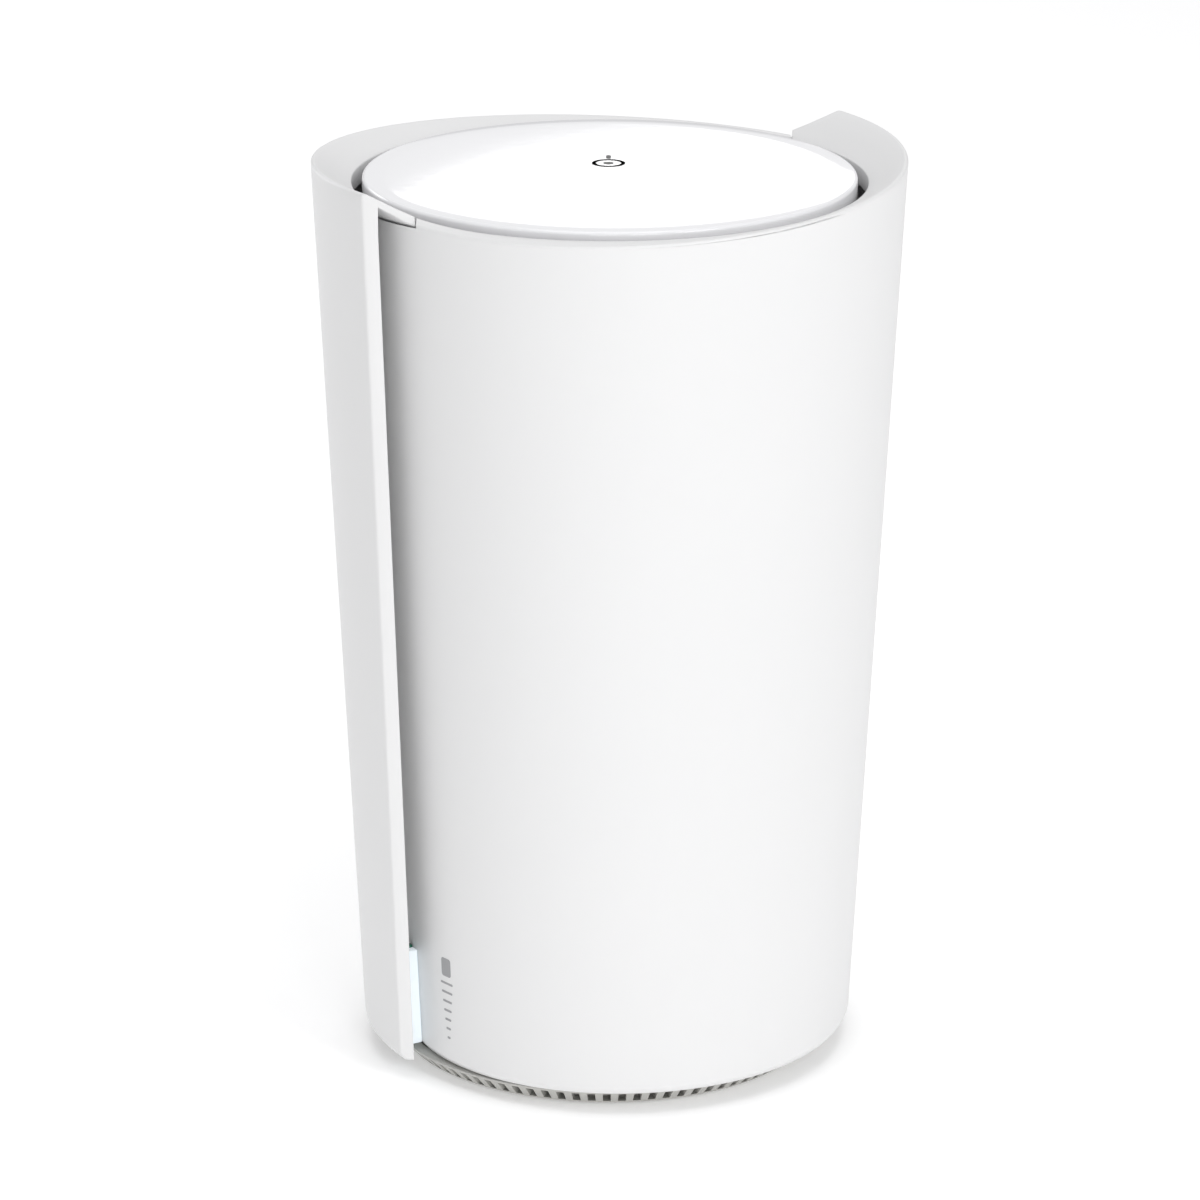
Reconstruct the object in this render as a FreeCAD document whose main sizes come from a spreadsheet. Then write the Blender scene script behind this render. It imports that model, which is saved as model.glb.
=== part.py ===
import FreeCAD, Part
import math
import os
import re
import Sketcher
from FreeCAD import Placement, Rotation, Vector

# Mesh wifi node with a built-in cellular modem. Millimetres, +Z up, origin on the floor at the
# middle of the foot. -Y is the front, +Y the rear with the ports. Two wing shells spiral round a
# tapered core frame; each wing's end laps over the other wing's start and leaves a groove there.

DIMENSIONS = {
    # Stack of the housing
    "rim_plane_z": 190.6, "shell_base_z": 4.6, "draft_angle": 2.83,
    # Plan line of a wing: radius at the rim plane, from the rim's start to its end
    "wing_azimuth": 226.9, "wing_sweep": 172.0, "wing_start_radius": 57.3, "wing_end_radius": 63.7,
    "wing_start_flare": 15.1, "wing_end_flare": 10.1,
    # Height of the rim above the rim plane
    "rim_start_rise": -0.1, "rim_end_rise": 6.3, "rim_start_slope": -6.0, "rim_end_slope": 0.5,
    # Section of a wing
    "wing_start_wall": 1.5, "wing_end_wall": 2.45, "funnel_thick": 2.4, "funnel_taper": 1.15,
    "hole_radius": 54.0, "hole_drop": 0.2, "hole_rise": 0.7, "hole_rise_azimuth": 223.0,
    "hole_rise_span": 22.0, "lip_depth": 4.0, "lip_wall": 1.0, "toe_height": 1.4, "toe_width": 1.0,
    # Tongue of a wing under the other wing's end. Its top follows that wing's underside: a height at
    # the hole's radius and a rise per millimetre outwards. The lap is where the other wing has no lip.
    "tongue_azimuth": 203.5, "tongue_cut_z": 186.36, "tongue_top_z": 187.78, "tongue_rise": 0.66,
    "crest_base_z": 185.8, "crest_end_azimuth": 230.5, "lap_azimuth": 382.0, "lap_top_z": 187.95,
    "lap_depth": 8.0, "lap_reach": 3.5,
    # Plane that ends a wing's wall: y where it crosses x = 0 and z = 0, lean back and turn about Z. The
    # funnels of the two wings meet on a second, upright plane at x = -seam_x.
    "loft_end_azimuth": 411.0, "wing_sections": 16, "plane_reach": 60.0, "end_plane_y": -35.03,
    "end_plane_lean": 2.56, "end_plane_turn": 4.57, "parting_gap": 0.15, "seam_x": 39.1,
    # Stiffening ribs inside a wing, and the flange at the back of the groove
    "rib_thick": 1.6, "rib_base_z": 8.0, "rib_top_z": 160.0, "rib_embed": 0.5, "flange_thick": 1.6,
    "flange_span": 2.0, "flange_gap": 0.35, "frame_gap": 0.3, "cable_way_radius": 1.6,
    # Core frame
    "frame_radius": 52.7, "frame_wall": 1.8, "frame_base_z": 6.0, "frame_top_z": 182.0,
    "boss_circle": 37.0, "boss_radius": 3.5, "boss_top_z": 22.0, "boss_bore": 1.3,
    "boss_web_half": 1.2, "boss_web_reach": 46.0, "window_margin": 0.5, "rail_half": 2.4,
    "rail_slot_half": 0.95, "rail_reach": 1.0, "rail_base_z": 12.0, "rail_top_z": 172.0,
    "rail_play": 0.3, "rear_rail_base_z": 120.0,
    # Top
    "cover_radius": 51.8, "cover_top_z": 191.6, "cover_thick": 2.2, "cover_skirt": 5.1,
    "cover_edge": 0.9, "top_plate_thick": 2.0, "top_plate_radius": 52.2, "top_spigot": 3.5,
    "top_spigot_gap": 0.55, "top_spigot_wall": 1.6, "top_spigot_taper": 0.15, "post_circle": 30.0,
    "post_radius": 3.5, "post_top_z": 189.3, "cover_pin_radius": 1.5, "cover_pin_base_z": 185.0,
    "pin_play": 0.1, "embed": 0.5, "cover_skirt_wall": 1.6, "exhaust_inner": 38.0,
    "exhaust_outer": 47.5, "exhaust_count": 36, "exhaust_width": 3.2,
    # Base
    "grille_base_z": 0.6, "grille_plate": 1.2, "grille_foot_radius": 45.0,
    "grille_rim_radius": 48.4, "grille_rim_z": 4.4, "grille_rim_inside": 45.6,
    "grille_foot_inside": 43.0, "grille_edge": 0.3, "intake_count": 90, "intake_width": 1.65,
    "intake_base_z": 1.15, "intake_top_z": 3.75, "foot_inner": 35.0, "foot_outer": 43.0,
    "foot_recess": 0.3, "foot_gap": 0.1, "deck_radius": 43.3, "deck_thick": 1.6, "deck_spigot": 3.0,
    "deck_spigot_wall": 1.4, "deck_gap": 0.2, "vent_count": 24, "vent_inner": 16.0,
    "vent_outer": 31.0, "vent_width": 2.4, "label_length": 40.0, "label_width": 24.0,
    "label_thick": 0.3, "label_y": -12.0, "relief_gap": 0.25, "screw_play": 0.05,
    "base_post_radius": 4.0, "base_screw_way": 1.7, "base_screw_sink_z": 2.45,
    "base_screw_head": 2.5, "base_screw_head_z": 0.95, "base_screw_head_height": 1.45,
    "base_screw_tip_z": 17.0,
    # Light bar in the front groove
    "light_azimuth": 212.5, "light_half_width": 2.1, "light_base_z": 6.0, "light_top_z": 27.5,
    "led_board_azimuth": 208.0, "led_board_half": 0.5, "led_pitch": 7.0, "led_half": 1.2,
    "led_cable_z": 16.75, "led_cable_radius": 0.7, "led_cable_bend": 30.0, "led_cable_arc": 8.0,
    "led_thick": 0.7, "pipe_floor_gap": 0.35, "pipe_roof_gap": 0.2, "way_start": 34.0,
    "way_length": 22.0,
    # Main board, upright in the YZ plane
    "board_x": -9.6, "board_thick": 1.6, "board_front_y": -37.0, "board_rear_y": 38.5,
    "board_base_z": 10.0, "board_top_z": 164.0, "shield_height": 2.5, "shield_wall": 0.3,
    "shield_front_y": -24.0, "shield_rear_y": 12.0, "cpu_shield_z": 76.0, "radio_shield_z": 117.0,
    "shield_length": 34.0, "chip_height": 1.4, "memory_height": 1.1, "radio_height": 1.2,
    "transformer_height": 4.0, "pad_thick": 1.0, "pad_inset": 2.0, "sink_plate": 3.0,
    "sink_front_y": -32.0, "sink_rear_y": 20.0, "sink_base_z": 70.0, "sink_top_z": 158.0,
    "fin_reach": 21.5, "fin_thick": 1.6, "fin_count": 7, "sink_screw_inset": 4.0,
    "sink_screw_radius": 1.25, "sink_screw_head": 2.4, "sink_rear_inset": 2.5,
    "sink_head_height": 2.0, "sink_screw_length": 7.0, "sink_boss_radius": 3.0,
    # Modem on the other face of the board
    "modem_gap": 2.6, "modem_board_thick": 0.8, "modem_base_z": 73.0, "modem_length": 52.0,
    "modem_half": 15.0, "modem_shield_height": 2.5, "modem_sink_plate": 2.5,
    "modem_fin_reach": 13.0, "modem_sink_half": 19.0, "modem_fin_count": 6, "modem_sink_inset": 6.0,
    "modem_fit": 0.05, "modem_socket_lap": 1.6, "modem_socket_half": 11.0, "modem_socket_low": 6.0,
    "modem_socket_high": 2.0, "modem_shield_low": 4.0, "modem_shield_high": 5.0,
    "modem_standoff_radius": 2.5, "modem_screw_inset": 1.5, "modem_screw_radius": 1.15,
    "modem_screw_head": 2.2, "modem_screw_length": 3.3,
    # Port bay
    "bay_half": 12.8, "bay_wall": 1.5, "bay_base_z": 12.0, "bay_top_z": 116.0, "bay_floor_y": 45.0,
    "bay_plate": 2.0, "bay_corner": 2.6, "window_gap": 0.2, "bay_rim_inset": 0.5,
    "window_front_y": 39.0, "window_rear_y": 70.0, "frame_window_y": 30.0, "jack_front_y": 22.5,
    "jack_rear_y": 43.0, "jack_gap": 0.1, "jack_height": 13.5, "jack_half": 8.0, "lan_low_z": 39.0,
    "lan_pitch": 18.5, "socket_low": 2.0, "socket_height": 6.9, "socket_half": 5.85,
    "socket_depth": 14.0, "latch_height": 2.3, "latch_half": 3.2, "latch_depth": 10.0,
    "contact_count": 8, "contact_front": 5.0, "contact_pitch": 1.02, "contact_half": 0.2,
    "contact_height": 0.8, "power_z": 21.0, "power_x": -2.5, "power_half": 4.5,
    "power_front_y": 31.0, "power_nose": 4.0, "power_nose_y": 44.6, "power_bore": 3.0,
    "power_bore_y": 34.0, "power_pin": 1.0, "power_pin_y": 43.6, "port_gap": 0.15, "sim_z": 76.0,
    "sim_half": 8.0, "reader_front_y": 22.0, "reader_rear_y": 41.0, "reader_height": 2.8,
    "tray_half": 6.4, "tray_low": 0.8, "tray_thick": 1.2, "tray_gap": 0.2, "tray_front_y": 25.0,
    "card_inset": 2.0, "card_length": 12.5, "card_half": 4.5, "tray_face_half": 7.6,
    "tray_face_low": -1.6, "tray_face_high": 4.4, "tray_face_thick": 1.0, "tray_face_proud": 0.3,
    "wps_z": 92.0, "wps_x": -2.0, "wps_cap": 3.9, "wps_proud": 0.9, "wps_flange": 5.0,
    "wps_stem": 2.0, "wps_stem_y": 39.6, "wps_flange_y": 1.3, "wps_flange_thick": 1.1,
    "switch_front_y": 30.0, "switch_rear_y": 37.6, "switch_half": 3.0, "switch_height": 9.4,
    "plunger": 1.4, "plunger_gap": 0.1, "plunger_front_y": 35.2, "switch_bore_y": 33.9,
    "aerial_x": 5.2, "aerial_z": 105.5, "aerial_barrel": 2.3, "aerial_bore": 1.3,
    "aerial_end_y": 45.9, "aerial_front_y": 40.0, "aerial_flange": 2.6, "aerial_flange_tall": 3.4,
    "aerial_flange_y": 1.2, "aerial_bore_depth": 4.0, "flap_axis_y": 47.3, "flap_axis_z": 111.9,
    "flap_knuckle": 1.75, "flap_pin": 0.75, "flap_running_gap": 0.05, "flap_half": 10.9,
    "flap_low_z": 98.4, "flap_near": -0.3, "flap_thick": 1.5, "flap_pin_half": 12.3,
    "flap_pin_fit": 0.02, "flap_grip_half": 4.0, "flap_grip_proud": 0.9, "flap_grip_height": 1.4,
    # Reset button in the underside
    "reset_x": -5.2, "reset_y": 10.0, "reset_radius": 2.0, "reset_face_z": 0.9, "reset_tip_z": 9.2,
    "reset_flange": 3.0, "reset_flange_z": 6.1, "reset_flange_thick": 0.9, "reset_hole_gap": 0.2,
    "reset_switch_z": 10.4, "reset_switch_top_z": 14.4, "reset_switch_half": 2.6,
    "reset_plunger": 1.0, "reset_plunger_top_z": 11.6, "reset_bore_z": 12.8,
    # Aerials on the inside of the core frame
    "aerial_plate_half": 8.0, "aerial_plate_thick": 0.8, "wifi_base_z": 108.0, "wifi_top_z": 158.0,
    "cell_base_z": 40.0, "cell_top_z": 98.0, "coax_radius": 0.55, "coax_level_z": 170.0,
    "near_lead_y": 33.0, "near_lead_rise": 12.0, "far_lead_y": 26.5, "far_lead_rise": 14.0,
    "coax_plug_base_z": 160.0, "coax_plug_height": 3.0, "coax_plug_reach": 3.0,
    "coax_plug_width": 2.4, "coax_arc": 3.0, "aerial_plate_gap": 0.15,
}

# Azimuths in degrees of the wing's stiffening ribs, the four screw bosses and the four cover posts
RIB_AZIMUTHS = (245, 300, 350)
BOSS_AZIMUTHS = (45, 135, 225, 315)
POST_AZIMUTHS = (0, 90, 180, 270)

doc = FreeCAD.newDocument("mesh_wifi_node")
sheet = doc.addObject("Spreadsheet::Sheet", "dims")
for row, (alias, value) in enumerate(DIMENSIONS.items(), start=1):
    sheet.set("A%d" % row, alias)
    sheet.set("B%d" % row, str(value))
    sheet.setAlias("B%d" % row, alias)
doc.recompute()

parts = []


def dim(alias):
    """Value of one sheet cell."""
    return float(sheet.get(alias))


def formula(text):
    """Point every alias in a formula at the sheet."""
    return re.sub(r"[a-z][a-z_]+", lambda word: "dims." + word[0] if word[0] in DIMENSIONS else word[0],
                  str(text))


def bind(thing, **formulas):
    """Bind properties to formulas of sheet aliases; x, y and z are the placement's base."""
    paths = {"x": "Placement.Base.x", "y": "Placement.Base.y", "z": "Placement.Base.z"}
    for name, text in formulas.items():
        thing.setExpression(paths.get(name, name), formula(text))


def keep(thing, label):
    """Name an object and put it on the list of sub-parts."""
    thing.Label = label
    parts.append(thing)
    return thing


# Turns that point a primitive's own Z along another axis
TURNS = {"x": Rotation(Vector(0, 1, 0), 90), "y": Rotation(Vector(1, 0, 0), -90), "z": Rotation()}


def box(low, high):
    """Box between two corners given as formulas."""
    thing = doc.addObject("Part::Box", "box")
    sizes = ["(%s) - (%s)" % (b, a) for a, b in zip(low, high)]
    bind(thing, Length=sizes[0], Width=sizes[1], Height=sizes[2], x=low[0], y=low[1], z=low[2])
    return thing


def rod(radius, start, length, axis="z"):
    """Cylinder from a start point along an axis."""
    thing = doc.addObject("Part::Cylinder", "rod")
    thing.Placement = Placement(Vector(), TURNS[axis])
    bind(thing, Radius=radius, Height=length, x=start[0], y=start[1], z=start[2])
    return thing


def drafted(radius, low, high):
    """Solid cone whose radius is given at the rim plane and follows the housing's draft."""
    thing = doc.addObject("Part::Cone", "drafted")
    at = "(%s) - (rim_plane_z - (%s)) * tan(draft_angle)"
    bind(thing, Radius1=at % (radius, low), Radius2=at % (radius, high),
         Height="(%s) - (%s)" % (high, low), x="0", y="0", z=low)
    return thing


def fuse(*things):
    thing = doc.addObject("Part::MultiFuse", "fuse")
    thing.Shapes = list(things)
    return thing


def common(*things):
    thing = doc.addObject("Part::MultiCommon", "common")
    thing.Shapes = list(things)
    return thing


def cut(base, *tools):
    thing = doc.addObject("Part::Cut", "cut")
    thing.Base = base
    thing.Tool = tools[0] if len(tools) == 1 else group(*tools)
    return thing


def group(*things):
    """Separate solids kept together."""
    thing = doc.addObject("Part::Compound", "group")
    thing.Links = list(things)
    return thing


def solid(shape):
    """Shape computed in code from the sheet's values."""
    thing = doc.addObject("Part::Feature", "solid")
    thing.Shape = shape
    return thing


def revolved(label, corners):
    """Body turned round Z from a closed outline of (radius, height) formulas."""
    body = doc.addObject("PartDesign::Body", label)
    plane = next(item for item in body.Origin.OriginFeatures if item.Role == "XZ_Plane")
    sketch = body.newObject("Sketcher::SketchObject", label + "_outline")
    sketch.AttachmentSupport = (plane, [""])
    sketch.MapMode = "FlatFace"
    draw_outline(sketch, corners)
    turn = body.newObject("PartDesign::Revolution", label + "_turn")
    turn.Profile = sketch
    turn.ReferenceAxis = (sketch, ["V_Axis"])
    turn.Angle = 360
    body.Tip = turn
    return body


def draw_outline(sketch, corners):
    """Closed line loop with every corner tied to the sheet."""
    probe = doc.addObject("App::FeaturePython", "probe")
    probe.addProperty("App::PropertyFloat", "Value")
    places = []
    for pair in corners:
        place = []
        for text in pair:
            probe.setExpression("Value", formula(text))
            probe.recompute()
            place.append(probe.Value)
        places.append(Vector(place[0], place[1], 0))
    doc.removeObject(probe.Name)
    count = len(places)
    for index in range(count):
        sketch.addGeometry(Part.LineSegment(places[index], places[(index + 1) % count]))
    for index in range(count):
        sketch.addConstraint(Sketcher.Constraint("Coincident", index, 2, (index + 1) % count, 1))
    for index, pair in enumerate(corners):
        for kind, text, value in zip(("DistanceX", "DistanceY"), pair, places[index]):
            number = sketch.addConstraint(Sketcher.Constraint(kind, -1, 1, index, 1, value))
            sketch.setExpression("Constraints[%d]" % number, formula(text))


def polar(radius, azimuth, height):
    """Point at a radius and an azimuth in degrees, counted from +X towards +Y."""
    angle = math.radians(azimuth)
    return Vector(radius * math.cos(angle), radius * math.sin(angle), height)


def ease(start, end, start_slope, end_slope, part):
    """Cubic from start to end with the given slopes; it also runs on past both ends."""
    rise = end - start
    bend = 3 * rise - 2 * start_slope - end_slope
    twist = start_slope + end_slope - 2 * rise
    return start + start_slope * part + bend * part ** 2 + twist * part ** 3


def wing_part(azimuth):
    """Fraction of the wing's sweep at an azimuth: 0 at the rim's start, 1 at its end."""
    return (azimuth - dim("wing_azimuth")) / dim("wing_sweep")


def draft_inset(height):
    """How far the housing has drawn in at a height below the rim plane."""
    return (dim("rim_plane_z") - height) * math.tan(math.radians(dim("draft_angle")))


def wing_outside(azimuth, height):
    plan = ease(dim("wing_start_radius"), dim("wing_end_radius"), dim("wing_start_flare"),
                dim("wing_end_flare"), wing_part(azimuth))
    return plan - draft_inset(height)


def wing_wall(azimuth):
    return dim("wing_start_wall") + (dim("wing_end_wall") - dim("wing_start_wall")) * wing_part(azimuth)


def wing_inside(azimuth, height):
    return wing_outside(azimuth, height) - wing_wall(azimuth)


def wing_section(azimuth):
    """Wire of one upright section: wall, rim, funnel down to the hole's edge, and its lip."""
    base = dim("shell_base_z")
    rim_z = dim("rim_plane_z") + ease(dim("rim_start_rise"), dim("rim_end_rise"), dim("rim_start_slope"),
                                      dim("rim_end_slope"), wing_part(azimuth))
    rim = wing_outside(azimuth, rim_z)
    rise_part = 1 - (azimuth - dim("hole_rise_azimuth")) / dim("hole_rise_span")
    edge_z = (dim("rim_plane_z") - dim("hole_drop")
              + dim("hole_rise") * min(max(rise_part, 0.0), 1.0) ** 2)
    shoulder = wing_inside(azimuth, edge_z)
    hole = min(dim("hole_radius"), shoulder - dim("lip_wall") - 0.1)
    lip = hole + dim("lip_wall")
    lip_z = edge_z - dim("lip_depth")

    def underside(radius):
        share = (radius - hole) / (rim - hole)
        return edge_z + share * (rim_z - edge_z + dim("funnel_taper")) - dim("funnel_thick")

    toe_z = base + dim("toe_height")
    outline = [(wing_outside(azimuth, base) - dim("toe_width"), base),
               (wing_outside(azimuth, toe_z), toe_z), (rim, rim_z), (hole, edge_z), (hole, lip_z),
               (lip, lip_z), (lip, underside(lip)), (shoulder, underside(shoulder)),
               (wing_inside(azimuth, base), base)]
    points = [polar(radius, azimuth, height) for radius, height in outline]
    return Part.makePolygon(points + points[:1])


def drafted_block(azimuth, inside, outside, half_width, low, high):
    """Upright block at an azimuth; inside and outside give its radii at a height."""
    wires = []
    across = polar(half_width, azimuth + 90, 0)
    for height in (low, high):
        near = polar(inside(height), azimuth, height)
        far = polar(outside(height), azimuth, height)
        corners = [near - across, far - across, far + across, near + across]
        wires.append(Part.makePolygon(corners + corners[:1]))
    return Part.makeLoft(wires, True, True)


def beyond_end_plane():
    """Block in front of the wing's end plane."""
    reach = dim("plane_reach")
    start_x = -1.4 * reach
    block = Part.makeBox(reach, reach, 4 * reach)
    block.translate(Vector(0, dim("parting_gap") / 2 - reach, -reach / 2))
    block.rotate(Vector(), Vector(1, 0, 0), dim("end_plane_lean"))
    block.rotate(Vector(), Vector(0, 0, 1), -dim("end_plane_turn"))
    turn = math.tan(math.radians(dim("end_plane_turn")))
    block.translate(Vector(start_x, dim("end_plane_y") - start_x * turn, 0))
    return block


def seam_block(side, low_z):
    """Block on one side of the upright seam between the funnels: side 1 is towards +X."""
    reach = dim("plane_reach")
    start_x = -dim("seam_x") - side * dim("parting_gap") / 2 - (reach if side < 0 else 0)
    return Part.makeBox(reach if side < 0 else dim("seam_x") / 2, reach, 4 * reach,
                        Vector(start_x, -reach, low_z))


def sloping_top(level, radius):
    """Height at a radius of a top that rises outwards from a level at the hole's edge."""
    return level + (radius - dim("hole_radius")) * dim("tongue_rise")


def tongue_crest():
    """Top of the tongue, shaped to lie close under the other wing's funnel."""
    base = dim("crest_base_z")
    margin = 0.05
    first = dim("tongue_azimuth") + margin
    count = 6
    step = (dim("crest_end_azimuth") - first) / (count - 1)
    wires = []
    for index in range(count):
        azimuth = first + step * index
        near = wing_inside(azimuth, base) + margin
        far = wing_outside(azimuth, base) - margin
        corners = [polar(near, azimuth, base), polar(far, azimuth, base),
                   polar(far, azimuth, sloping_top(dim("tongue_top_z"), far)),
                   polar(near, azimuth, sloping_top(dim("tongue_top_z"), near))]
        wires.append(Part.makePolygon(corners + corners[:1]))
    return Part.makeLoft(wires, True, False)


def lap_clearance():
    """Ring sector that takes away the lip where a wing laps over the other's tongue."""
    near = dim("hole_radius") - dim("lip_wall")
    far = dim("hole_radius") + dim("lap_reach")
    azimuth = dim("lap_azimuth")
    corners = [polar(near, azimuth, dim("lap_top_z") - dim("lap_depth")),
               polar(far, azimuth, dim("lap_top_z") - dim("lap_depth")),
               polar(far, azimuth, sloping_top(dim("lap_top_z"), far)),
               polar(near, azimuth, sloping_top(dim("lap_top_z"), near))]
    face = Part.Face(Part.makePolygon(corners + corners[:1]))
    return face.revolve(Vector(), Vector(0, 0, 1), dim("loft_end_azimuth") - azimuth + 1)


def wing_blank():
    """One wing, starting at the front: the loft, less what the end planes take, crest and ribs."""
    count = int(dim("wing_sections"))
    first = dim("tongue_azimuth")
    step = (dim("loft_end_azimuth") - first) / (count - 1)
    loft = Part.makeLoft([wing_section(first + step * index) for index in range(count)], True, False)
    behind = seam_block(-1, dim("tongue_cut_z"))
    beyond = beyond_end_plane().fuse(seam_block(1, dim("crest_base_z") - dim("lap_depth")))
    beyond.rotate(Vector(), Vector(0, 0, 1), 180)
    pieces = loft.cut(behind).cut(beyond).cut(lap_clearance()).Solids
    wing = max(pieces, key=lambda piece: piece.Volume).fuse(tongue_crest())

    def frame_clear(height):
        return dim("frame_radius") - draft_inset(height) + dim("frame_gap")

    embed = dim("rib_embed")
    for azimuth in RIB_AZIMUTHS:
        rib = drafted_block(azimuth, frame_clear, lambda z: wing_inside(azimuth, z) + embed,
                            dim("rib_thick") / 2, dim("rib_base_z"), dim("rib_top_z"))
        wing = wing.fuse(rib)
    flange_at = first + dim("flange_span") / 2
    flange = drafted_block(flange_at, lambda z: wing_outside(flange_at, z) - embed,
                           lambda z: wing_inside(flange_at + 180, z) - dim("flange_gap"),
                           dim("flange_thick") / 2, dim("rib_base_z"), dim("crest_base_z"))
    return wing.fuse(flange).removeSplitter()


def cable_way():
    """Way through the wing and the frame behind the light board."""
    azimuth = dim("led_board_azimuth")
    start = polar(dim("way_start"), azimuth, dim("led_cable_z"))
    return Part.makeCylinder(dim("cable_way_radius"), dim("way_length"), start, polar(1, azimuth, 0))


def make_wings():
    """Both wing shells: one blank, used twice; the rear one has the port window."""
    blank = wing_blank()
    keep(solid(blank.cut(cable_way())), "front_wing_shell")
    turned = blank.copy()
    turned.rotate(Vector(), Vector(0, 0, 1), 180)
    gap = "window_gap"
    window = rounded_port("bay_half + " + gap, "bay_base_z - " + gap, "bay_top_z + " + gap,
                          "window_front_y", "window_rear_y", dim("bay_corner"))
    keep(cut(solid(turned), window), "rear_wing_shell")


def rounded_port(half, low, high, front, rear, corner):
    """Upright prism with rounded corners, running along Y."""
    block = box(("-(%s)" % half, front, low), (half, rear, high))
    doc.recompute()
    round_off = doc.addObject("Part::Fillet", "round_off")
    round_off.Base = block
    along_y = [index for index, edge in enumerate(block.Shape.Edges, start=1)
               if abs(edge.Vertexes[0].Y - edge.Vertexes[1].Y) > 1]
    round_off.Edges = [(index, corner, corner) for index in along_y]
    return round_off


def ring_spots(circle, azimuths):
    """Formulas for the x and y of points on a circle."""
    return [("%s * cos(%d deg)" % (circle, azimuth), "%s * sin(%d deg)" % (circle, azimuth))
            for azimuth in azimuths]


def make_core_frame():
    """Tapered tube with board rails, screw bosses on webs, a rear window and the cable's way."""
    tube = cut(drafted("frame_radius", "frame_base_z", "frame_top_z"),
               drafted("frame_radius - frame_wall", "frame_base_z - 1", "frame_top_z + 1"))
    middle = "board_x + board_thick / 2"
    rails = []
    for low_y, high_y, low_z, slot_low, slot_high in (
            ("-frame_radius", "board_front_y + rail_reach", "rail_base_z",
             "board_front_y - rail_play", "0"),
            ("board_rear_y - rail_reach", "frame_radius", "rear_rail_base_z",
             "0", "board_rear_y + rail_play")):
        block = box((middle + " - rail_half", low_y, low_z),
                    (middle + " + rail_half", high_y, "rail_top_z"))
        slot = box((middle + " - rail_slot_half", slot_low, low_z + " - 1"),
                   (middle + " + rail_slot_half", slot_high, "rail_top_z + 1"))
        rails.append(cut(block, slot))
    bosses = []
    bores = []
    for azimuth, (x, y) in zip(BOSS_AZIMUTHS, ring_spots("boss_circle", BOSS_AZIMUTHS)):
        bosses.append(rod("boss_radius", (x, y, "frame_base_z"), "boss_top_z - frame_base_z"))
        bosses.append(solid(boss_web(azimuth, dim("boss_circle"), dim("boss_web_half"),
                                     dim("frame_base_z"), dim("boss_top_z"))))
        bores.append(rod("boss_bore", (x, y, "frame_base_z - 1"), "boss_top_z"))
    inner = common(fuse(*rails, *bosses),
                   drafted("frame_radius - frame_wall / 2", "frame_base_z", "frame_top_z"))
    window = box(("-bay_half - window_margin", "frame_window_y", "bay_base_z - window_margin"),
                 ("bay_half + window_margin", "window_rear_y", "bay_top_z + window_margin"))
    keep(cut(fuse(tube, inner), window, solid(cable_way()), *bores), "core_frame")


def boss_web(azimuth, start, half_width, low, high):
    """Radial web from a screw boss out to the frame's wall."""
    return drafted_block(azimuth, lambda z: start, lambda z: dim("boss_web_reach"), half_width, low,
                         high)


def make_top():
    """Cover disc on four pins, and the vented frame plate with the posts that take the pins."""
    edge_z = "cover_top_z - cover_thick"
    disc = revolved("top_cover_disc", [
        ("0", edge_z), ("cover_radius - cover_skirt_wall", edge_z),
        ("cover_radius - cover_skirt_wall", "cover_top_z - cover_skirt"),
        ("cover_radius", "cover_top_z - cover_skirt"), ("cover_radius", "cover_top_z - cover_edge"),
        ("cover_radius - 0.27 * cover_edge", "cover_top_z - 0.27 * cover_edge"),
        ("cover_radius - cover_edge", "cover_top_z"), ("0", "cover_top_z")])
    plate_z = "frame_top_z"
    plate_top = "frame_top_z + top_plate_thick"
    spigot = "frame_radius - frame_wall - top_spigot_gap"
    spigot_inside = spigot + " - top_spigot_wall"
    plate = revolved("top_frame_plate", [
        ("0", plate_z), (spigot_inside, plate_z), (spigot_inside, plate_z + " - top_spigot"),
        (spigot + " - top_spigot_taper", plate_z + " - top_spigot"), (spigot, plate_z),
        ("top_plate_radius", plate_z), ("top_plate_radius", plate_top), ("0", plate_top)])
    pins = []
    posts = []
    bores = []
    for x, y in ring_spots("post_circle", POST_AZIMUTHS):
        pins.append(rod("cover_pin_radius", (x, y, "cover_pin_base_z"),
                        edge_z + " - cover_pin_base_z + embed"))
        posts.append(rod("post_radius", (x, y, plate_top + " - embed"),
                         "post_top_z - frame_top_z - top_plate_thick + embed"))
        bores.append(rod("cover_pin_radius + pin_play", (x, y, plate_z + " + 1"), "cover_top_z"))
    exhaust = []
    for index in range(int(dim("exhaust_count"))):
        azimuth = (index + 0.5) * 360 / dim("exhaust_count")
        exhaust.append(drafted_block(azimuth, lambda z: dim("exhaust_inner"),
                                     lambda z: dim("exhaust_outer"), dim("exhaust_width") / 2,
                                     dim("frame_top_z") - 1,
                                     dim("frame_top_z") + dim("top_plate_thick") + 1))
    keep(fuse(disc, *pins), "top_cover")
    keep(cut(fuse(plate, *posts), solid(Part.makeCompound(exhaust)), *bores), "top_frame")


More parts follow.
